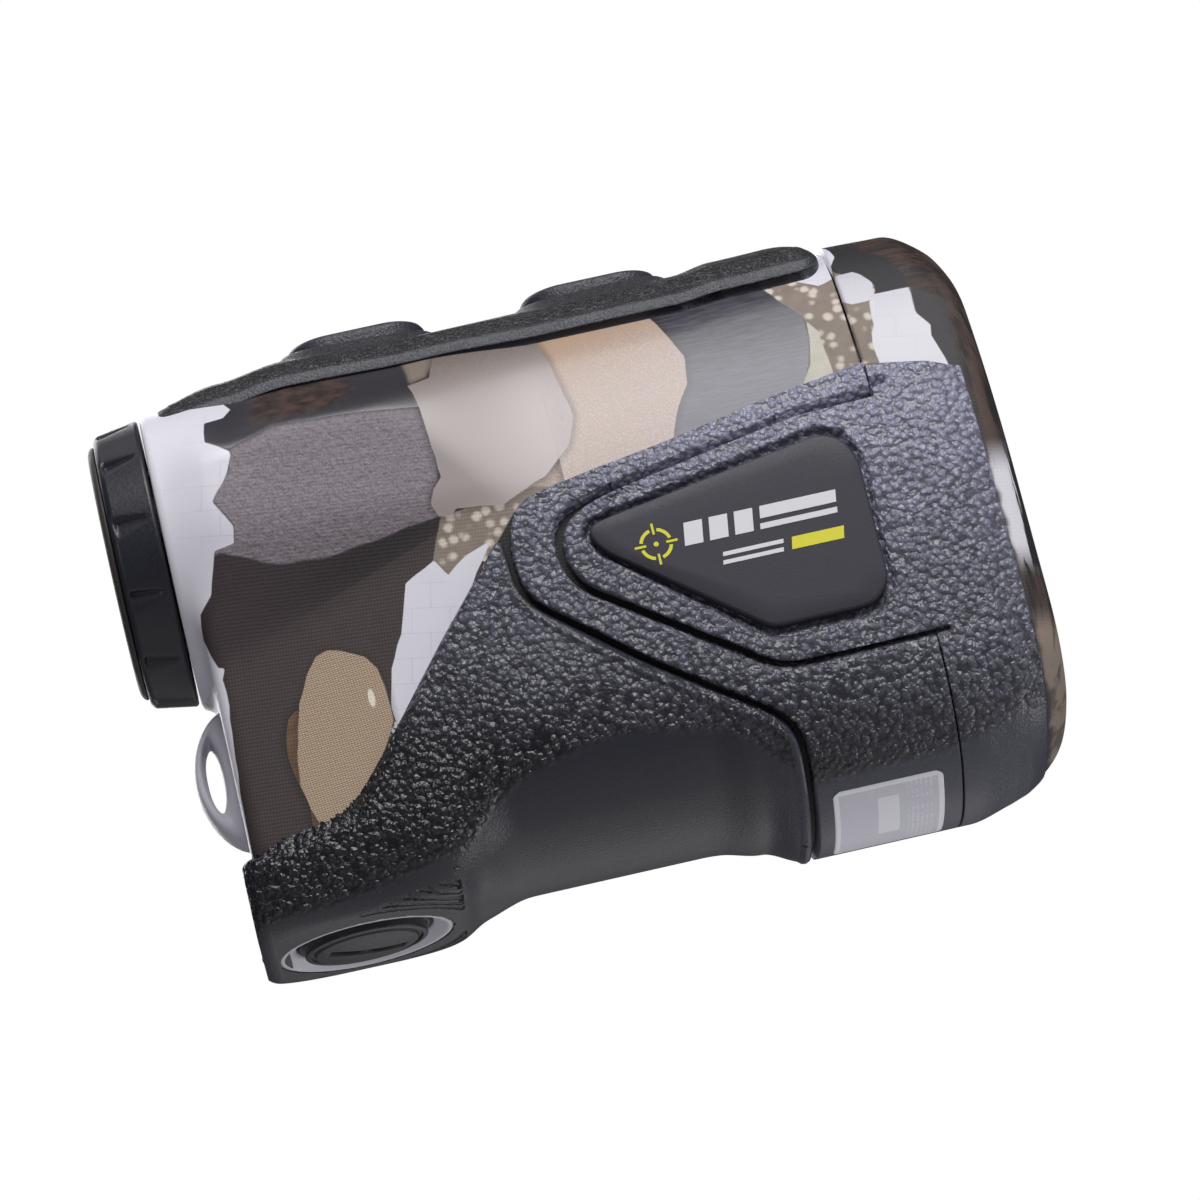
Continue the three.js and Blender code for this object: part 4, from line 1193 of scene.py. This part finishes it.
def at_door(name, profile, body, material, *more):
    """A profile of (height, radius) turned about the battery's axis."""
    turned(name, profile, "z", (CELL_X, 0, 0), body, material, *more)


def door_material():
    """The door's pale plastic, with brown bits of the print where the value "outer" is 1."""
    s = Shade("ring_print", Specular_IOR_Level=0.4)
    bits = s.ramp(s.noise(0.22, 2.0), 0.47, 0.53)
    outer_wall = s.value("outer")
    tint = s.mix(s.noise(1.2), "5a4a3c", "8a7a6a")
    s.set(Base_Color=s.mix(s.times(bits, outer_wall), "c9c8d0", tint), Roughness=0.42)
    s.set(Normal=s.bump(s.noise(2.5, 4.0), 0.04))
    return s.material


port = soft_profile([
    (DOOR_Z + 2.9, 8.22), (DOOR_Z + 1.1, 8.22), (DOOR_Z + 0.95, 8.4), (DOOR_Z + 0.1, 9.7),
    (DOOR_Z, 10.0), (DOOR_Z + 0.05, 10.35), (DOOR_Z + 0.4, PORT_R), (DOOR_Z + 2.9, PORT_R),
], 0.2)
at_door("port_rim", port, "housing", door_material(), 160, ["cap_ring"], "pale_plastic",
        {"outer": np.repeat(step(port[:, 1:], 10.2, 10.4), 160, 1)})
lip = soft_profile([
    (DOOR_Z + 3.4, PORT_R + 0.2), (DOOR_Z + 1.2, PORT_R + 0.2), (DOOR_Z + 0.62, PORT_R + 0.5),
    (DOOR_Z + 0.55, PORT_R + 1.0), (DOOR_Z + 0.9, PORT_R + 1.8),
], 0.2)
at_door("port_lip", lip, "housing", grip_rubber, 160, (), "grip_rubber",
        {"pebble": np.zeros((len(lip), 160))})

# The cap's face: a dished middle with a coin slot, a bead, a rounded rim, and the skirt above it.
spokes = np.concatenate([[0.02], spaced(0.3, 6.3, 0.15), spaced(6.36, 7.98, 0.06)])
turn = degrees(0, 360, 241)[:-1]
r, a = spokes[:, None] + 0 * turn, turn[None, :] + 0 * spokes[:, None]
cap_x, cap_y = r * np.cos(a), r * np.sin(a)
face = DOOR_Z - 0.9 + 0.014 * r ** 2 * (r < 7.4)
face = np.where(r >= 7.4, DOOR_Z - 0.13, face) + 1.1 * step(r, 7.3, 7.62) + 0.35 * step(r, 7.75, 8.0)
face += 0.35 * step(r, 6.15, 6.3) * (1 - step(r, 6.6, 6.75))
slot_edge = np.maximum(np.abs(cap_x * 0.94 + cap_y * 0.34) - 4.6,
                       np.abs(cap_y * 0.94 - cap_x * 0.34) - 0.8)
face += 0.8 * (1 - step(slot_edge, -0.12, 0.12))
skirt_z = 0 * turn + DOOR_Z + 5.5
cap_points = np.concatenate([
    np.stack([CELL_X + cap_x, cap_y, face], -1),
    np.stack([CELL_X + cap_x[-1], cap_y[-1], skirt_z], -1)[None],
    np.stack([CELL_X + cap_x[-1] * 0.4, cap_y[-1] * 0.4, skirt_z], -1)[None],
])[::-1]
ringed("battery_cap_face", cap_points, "cap", black_plastic, ["battery_cap"])
seal = [(DOOR_Z + 3.6, 7.9), (DOOR_Z + 3.65, 8.08), (DOOR_Z + 3.9, 8.16), (DOOR_Z + 4.15, 8.08),
        (DOOR_Z + 4.2, 7.9)]
at_door("cap_seal_ring", seal, "cap", satin, 160, ["cap_seal"], "grip_rubber")
cell_r = radius_of("battery_cell")
low, high = (extent("battery_cell", 2, end) for end in (0, 1))
wrap = soft_profile([
    (low + 0.5, cell_r - 0.8), (low + 0.12, cell_r - 0.5), (low + 0.3, cell_r - 0.1),
    (low + 0.8, cell_r), (high - 1.4, cell_r), (high - 0.95, cell_r - 0.15),
    (high - 0.82, cell_r - 0.6), (high - 0.95, cell_r - 1.2),
], 0.15)
flat_ends = [(high - 1.0, 0.02), (high - 1.0, cell_r - 0.7), (low + 0.45, cell_r - 0.7),
             (low + 0.45, 0.02)]
knob = [(high - 1.1, 3.0), (high - 0.2, 2.95), (high, 2.75), (high, 0.02)]
at_door("cell_wrap", wrap, "battery", cell_can, 96, ["battery_cell"], "cell_can")
at_door("cell_ends", flat_ends, "battery", steel, 96, (), "steel")
at_door("cell_terminal", knob, "battery", steel, 64, (), "steel")

# ---- name plates and label ----
PLATE_LIFT = 1.62  # how far a name plate's face stands off the case
MARK_LIFT = 1.66


def beside(flat, lift):
    """How far out each (x, z) is on the surface that stands lift off the case's side."""
    return last_inside(lambda y: flanks(flat[:, 0], y, flat[:, 1]) > lift,
                       np.zeros(len(flat)), np.full(len(flat), 40.0), 28)


def name_plate(name, outline, lifts, insets, node, side):
    """A thin plate over the case's side: loops of an outline, each inset and lifted."""
    loops = []
    outline = np.array(outline, float)
    centre = outline.mean(0)
    away = outline - centre
    reach_out = np.linalg.norm(away, axis=1, keepdims=True)
    for inset, lift in zip(insets, lifts):
        flat = centre + away * np.maximum(reach_out - inset, 0.02) / reach_out
        loops.append(np.stack([flat[:, 0], side * beside(flat, lift), flat[:, 1]], -1))
    loops = np.array(loops)
    faces = list(grid_faces(*loops.shape[:2], True))
    faces.append((len(insets) - 1) * len(outline) + np.arange(len(outline)))
    if side < 0:
        faces = [face[::-1] for face in faces]
    piece(name, loops, faces, "housing", plate_plastic, [node])


def printed(name, loops, material, side):
    """Flat printed marks: each loop of (x, z) points is laid just over the name plate."""
    points, faces = [], []
    for flat in loops:
        flat = np.array(flat, float)
        start = len(points)
        points += [(x, side * y, z) for (x, z), y in zip(flat, beside(flat, MARK_LIFT))]
        order = range(start, start + len(flat))
        faces.append(order if side > 0 else order[::-1])
    piece(name, points, faces, "housing", material, (), smooth=False)


def bar(x, z, long, tall, slant=0.0, turn=0.0):
    """A slanted bar from its lower left corner, turned about that corner."""
    c, n = math.cos(turn), math.sin(turn)
    return [(x + u * c - w * n, z + u * n + w * c)
            for u, w in ((0, 0), (long, 0), (long + slant, tall), (slant, tall))]


def arc_band(x, z, r_in, r_out, start, end, parts=16):
    """A piece of a flat ring as quads, so that each stays convex."""
    t = np.radians(np.linspace(start, end, parts + 1))
    return [[(x + r * math.cos(angle), z + r * math.sin(angle))
             for r, angle in ((r_in, p), (r_in, q), (r_out, q), (r_out, p))]
            for p, q in zip(t, t[1:])]


plate_plastic = plain("plate_plastic", "36353e", 0.5, grain=4.0, depth=0.02, vary=0.06,
                      Specular_IOR_Level=0.3)
plate_outline = rounded_outline(NAME_PLATE, 1.6, 6)
plate_lifts = [0.2, 1.3, 1.55, PLATE_LIFT, PLATE_LIFT, PLATE_LIFT]
SIDES = (("left", 1), ("right", -1))
for side, sign in SIDES:
    name_plate(f"{side}_plate_face", plate_outline, plate_lifts, [0.0, 0.0, 0.12, 0.4, 3.0, 6.0],
               f"{side}_name_plate", sign)

yellow = plain("printed_yellow", "d9d32c", 0.4, grain=4.0, depth=0.005, vary=0.05)
white_ink = plain("printed_white", "d9d8dc", 0.4, grain=4.0, depth=0.005, vary=0.04)
RETICLE_X, RETICLE_Z = 9.4, 35.2
marks = []
for k in range(4):
    marks += arc_band(RETICLE_X, RETICLE_Z, 1.55, 1.95, 90 * k + 14, 90 * k + 76)
    t = math.pi / 2 * k
    marks.append(bar(RETICLE_X + 1.2 * math.cos(t) + 0.14 * math.sin(t),
                     RETICLE_Z + 1.2 * math.sin(t) - 0.14 * math.cos(t), 1.35, 0.28, 0, t))
marks += arc_band(RETICLE_X, RETICLE_Z, 0.02, 0.3, 0, 360)
marks.append(bar(24.6, 31.0, 6.2, 1.5, 0.3))
bars = [bar(12.6 + 3.0 * k, 34.2, 2.2, 2.8, 0.45) for k in range(3)]
bars += [bar(21.6, 34.2, 9.2, 0.7, 0.1), bar(21.85, 35.5, 9.1, 1.5, 0.25),
         bar(16.4, 31.0, 7.2, 0.5, 0.1), bar(16.6, 32.0, 7.2, 0.5, 0.1)]
for side, sign in SIDES:
    printed(f"{side}_plate_marks", marks, yellow, sign)
    printed(f"{side}_plate_bars", bars, white_ink, sign)

LABEL_X, LABEL_Y = 29.5, -4.9  # the middle of the label under the front
LABEL_HALF = (5.6, 6.85)  # half its size inside its corner arcs
label_x = np.concatenate([[22.9, 22.93, 23.0], spaced(23.2, 35.9, 0.3), [36.05, 36.1, 36.12]])
label_y = np.concatenate([[-12.75, -12.72, -12.65], spaced(-12.4, 2.7, 0.3), [2.9, 2.95, 2.97]])
lx, ly = np.meshgrid(label_x, label_y, indexing="ij")
lx_in, ly_in = np.abs(lx - LABEL_X) - LABEL_HALF[0], np.abs(ly - LABEL_Y) - LABEL_HALF[1]
over_corner = np.maximum(np.hypot(np.maximum(lx_in, 0), np.maximum(ly_in, 0)) - 1.0, 0)
from_arc = np.maximum(np.hypot(lx_in, ly_in), 1e-6)
lx = lx - np.sign(lx - LABEL_X) * over_corner * np.maximum(lx_in, 0) / from_arc
ly = ly - np.sign(ly - LABEL_Y) * over_corner * np.maximum(ly_in, 0) / from_arc
edge = np.minimum.reduce([lx - lx.min(), lx.max() - lx, ly - ly.min(), ly.max() - ly])
film_lift = RUBBER + 0.1 * step(edge, 0.0, 0.08) - 0.02
lz = last_inside(lambda z: flanks(lx, ly, z) < film_lift,
                 np.full(lx.shape, -5.0), np.full(lx.shape, 20.0), 28)


def film_material():
    """A pale film with a border, a blank block and fine rows, and no lettering."""
    s = Shade("label_print", Specular_IOR_Level=0.35)

    def band(value, centre, half, strength=1.0):
        """strength within half of the centre, 0 beyond."""
        return s.ramp(s.gap(value, centre), half, half + 0.05, strength, 0.0)

    u, w = s.gap(s.x, LABEL_X), s.gap(s.y, LABEL_Y)
    border = s.most(s.minus(u, 5.9), s.minus(w, 7.2))
    blank = s.times(band(s.x, 29.4, 1.25), band(s.y, -6.5, 4.0))
    rows = s.ramp(s.waves(s.at, 0.55, 0.0), 0.6, 0.7)
    ruled = s.times(rows, s.ramp(s.drawn_out((0.2, 1.6, 1.0), 0.9, 1.0, 0.5), 0.45, 0.5))
    ruled = s.times(ruled, band(s.x, 33.3, 1.6, 0.55))
    tone = s.mix(s.noise(2.0, 3.0), "cfced9", "dcdbe4")
    tone = s.mix(blank, tone, "efeef6")
    tone = s.mix(ruled, tone, "f0eff6")
    tone = s.mix(s.ramp(border, 0.0, 0.08), tone, "f2f1f7")
    s.set(Base_Color=tone, Roughness=0.42, Normal=s.bump(s.noise(3.0, 3.0), 0.01))
    return s.material


piece("belly_label_film", np.stack([lx, ly, lz], -1), grid_faces(*lx.shape)[:, ::-1], "housing",
      film_material(), ["belly_label"])

# ---- camera ----
AZIMUTH, ELEVATION, TILT = math.radians(-4), math.radians(-17), math.radians(13.7)
LOOK_AT = Vector((0.0012, 0, 0.038))
DISTANCE, LENS_MM, SENSOR_MM = 0.6, 150.3, 36
SHIFT = (0.015, -0.0083)
back = Vector((math.sin(AZIMUTH) * math.cos(ELEVATION), -math.cos(AZIMUTH) * math.cos(ELEVATION),
               math.sin(ELEVATION)))
across = (-back).cross(Vector((0, 0, 1))).normalized()
up = across.cross(-back)
right = across * math.cos(TILT) - up * math.sin(TILT)
above = across * math.sin(TILT) + up * math.cos(TILT)
scene = bpy.context.scene
camera = bpy.data.objects.new("camera", bpy.data.cameras.new("camera"))
scene.collection.objects.link(camera)
camera.matrix_world = Matrix((right, above, back)).transposed().to_4x4()
camera.location = LOOK_AT + back * DISTANCE
camera.data.lens, camera.data.sensor_width = LENS_MM, SENSOR_MM
camera.data.shift_x, camera.data.shift_y = SHIFT
scene.camera = camera

# ---- lights, world and floor ----
LIGHTS = [  # name, place and the height it points at, in metres, diameter in metres, power in watts
    ("key", (0.2, -0.82, 0.9), 0.04, 0.85, 16),
    ("side", (0.9, -0.5, 0.2), 0.04, 0.4, 1),
    ("top", (-0.3, 0.1, 0.9), 0.05, 0.5, 0.5),
    ("back", (-0.3, 0.9, 0.5), 0.04, 0.85, 6),
    ("sweep", (0.1, 0.6, -0.42), 0.01, 0.5, 0.35),
    ("under", (0.75, 0.05, -0.55), 0.01, 0.4, 2),
    ("low", (-0.7, -0.5, 0.1), 0.03, 0.3, 0.5),
]
for name, at, target_z, size, power in LIGHTS:
    data = bpy.data.lights.new(name, "AREA")
    data.shape, data.size, data.energy = "DISK", size, power
    light = bpy.data.objects.new(name, data)
    light.location = at
    towards = Vector((0, 0, target_z)) - Vector(at)
    light.rotation_euler = towards.to_track_quat("-Z", "Y").to_euler()
    scene.collection.objects.link(light)

# The world lights faintly, and shows white to the camera.
world = bpy.data.worlds.new("studio")
scene.world = world
world.use_nodes = True
tree = world.node_tree
faint = tree.nodes["Background"]
shown = tree.nodes.new("ShaderNodeBackground")
for background, colour, strength in ((faint, (0.92, 0.92, 1.0, 1), 0.09), (shown, (1, 1, 1, 1), 1.0)):
    background.inputs["Color"].default_value = colour
    background.inputs["Strength"].default_value = strength
path = tree.nodes.new("ShaderNodeLightPath")
blend = tree.nodes.new("ShaderNodeMixShader")
surface = tree.nodes["World Output"].inputs["Surface"]
for output, socket in ((path.outputs["Is Camera Ray"], blend.inputs[0]),
                       (faint.outputs[0], blend.inputs[1]), (shown.outputs[0], blend.inputs[2]),
                       (blend.outputs[0], surface)):
    tree.links.new(output, socket)
scene.view_settings.view_transform = "Standard"

# The floor glows a little for the camera alone, so that it looks pale under the dim lights.
FLOOR_HALF, FLOOR_Z, GLOW = 30, -1, 0.6
corners = [(x * FLOOR_HALF, y * FLOOR_HALF, FLOOR_Z) for x, y in ((-1, -1), (1, -1), (1, 1), (-1, 1))]
floor_mesh = bpy.data.meshes.new("floor")
floor_mesh.from_pydata(corners, [], [(0, 1, 2, 3)])
floor = bpy.data.objects.new("floor", floor_mesh)
scene.collection.objects.link(floor)
paint = Shade("floor_paint", Base_Color="f4f4f6", Roughness=0.6, Emission_Color="f4f4f6")
seen = paint.add("LightPath", {}).outputs["Is Camera Ray"]
paint.set(Emission_Strength=paint.times(seen, GLOW))
floor_mesh.materials.append(paint.material)

# ---- the CAD nodes that stay in view, with finishes of their own ----
finishes = {
    "camo_plastic": camo_plastic, "grip_rubber": satin, "black_plastic": black_plastic,
    "plate_plastic": plate_plastic, "pale_plastic": pale, "clear_glass": clear,
    "coated_glass": coated, "steel": steel, "cell_can": cell_can,
    "label_film": plain("label_film", "c9c8d2", 0.4, grain=3.0, depth=0.01),
}
for slot, tone, rough, metal, grain in (
        ("bare_aluminium", "b4b6ba", 0.38, 1.0, 4.0), ("contact_brass", "b79a55", 0.35, 1.0, 4.0),
        ("circuit_board", "1f5a38", 0.45, 0.0, 1.5), ("cable_film", "b3782a", 0.3, 0.0, 2.0),
        ("chip_epoxy", "18181a", 0.4, 0.0, 3.0)):
    finishes[slot] = plain(slot, tone, rough, metal, grain)
for entry in frame["record"]["subparts"]:
    for holder in nodes[entry["node"]].material_slots:
        holder.material = finishes[entry["material_slot"]]
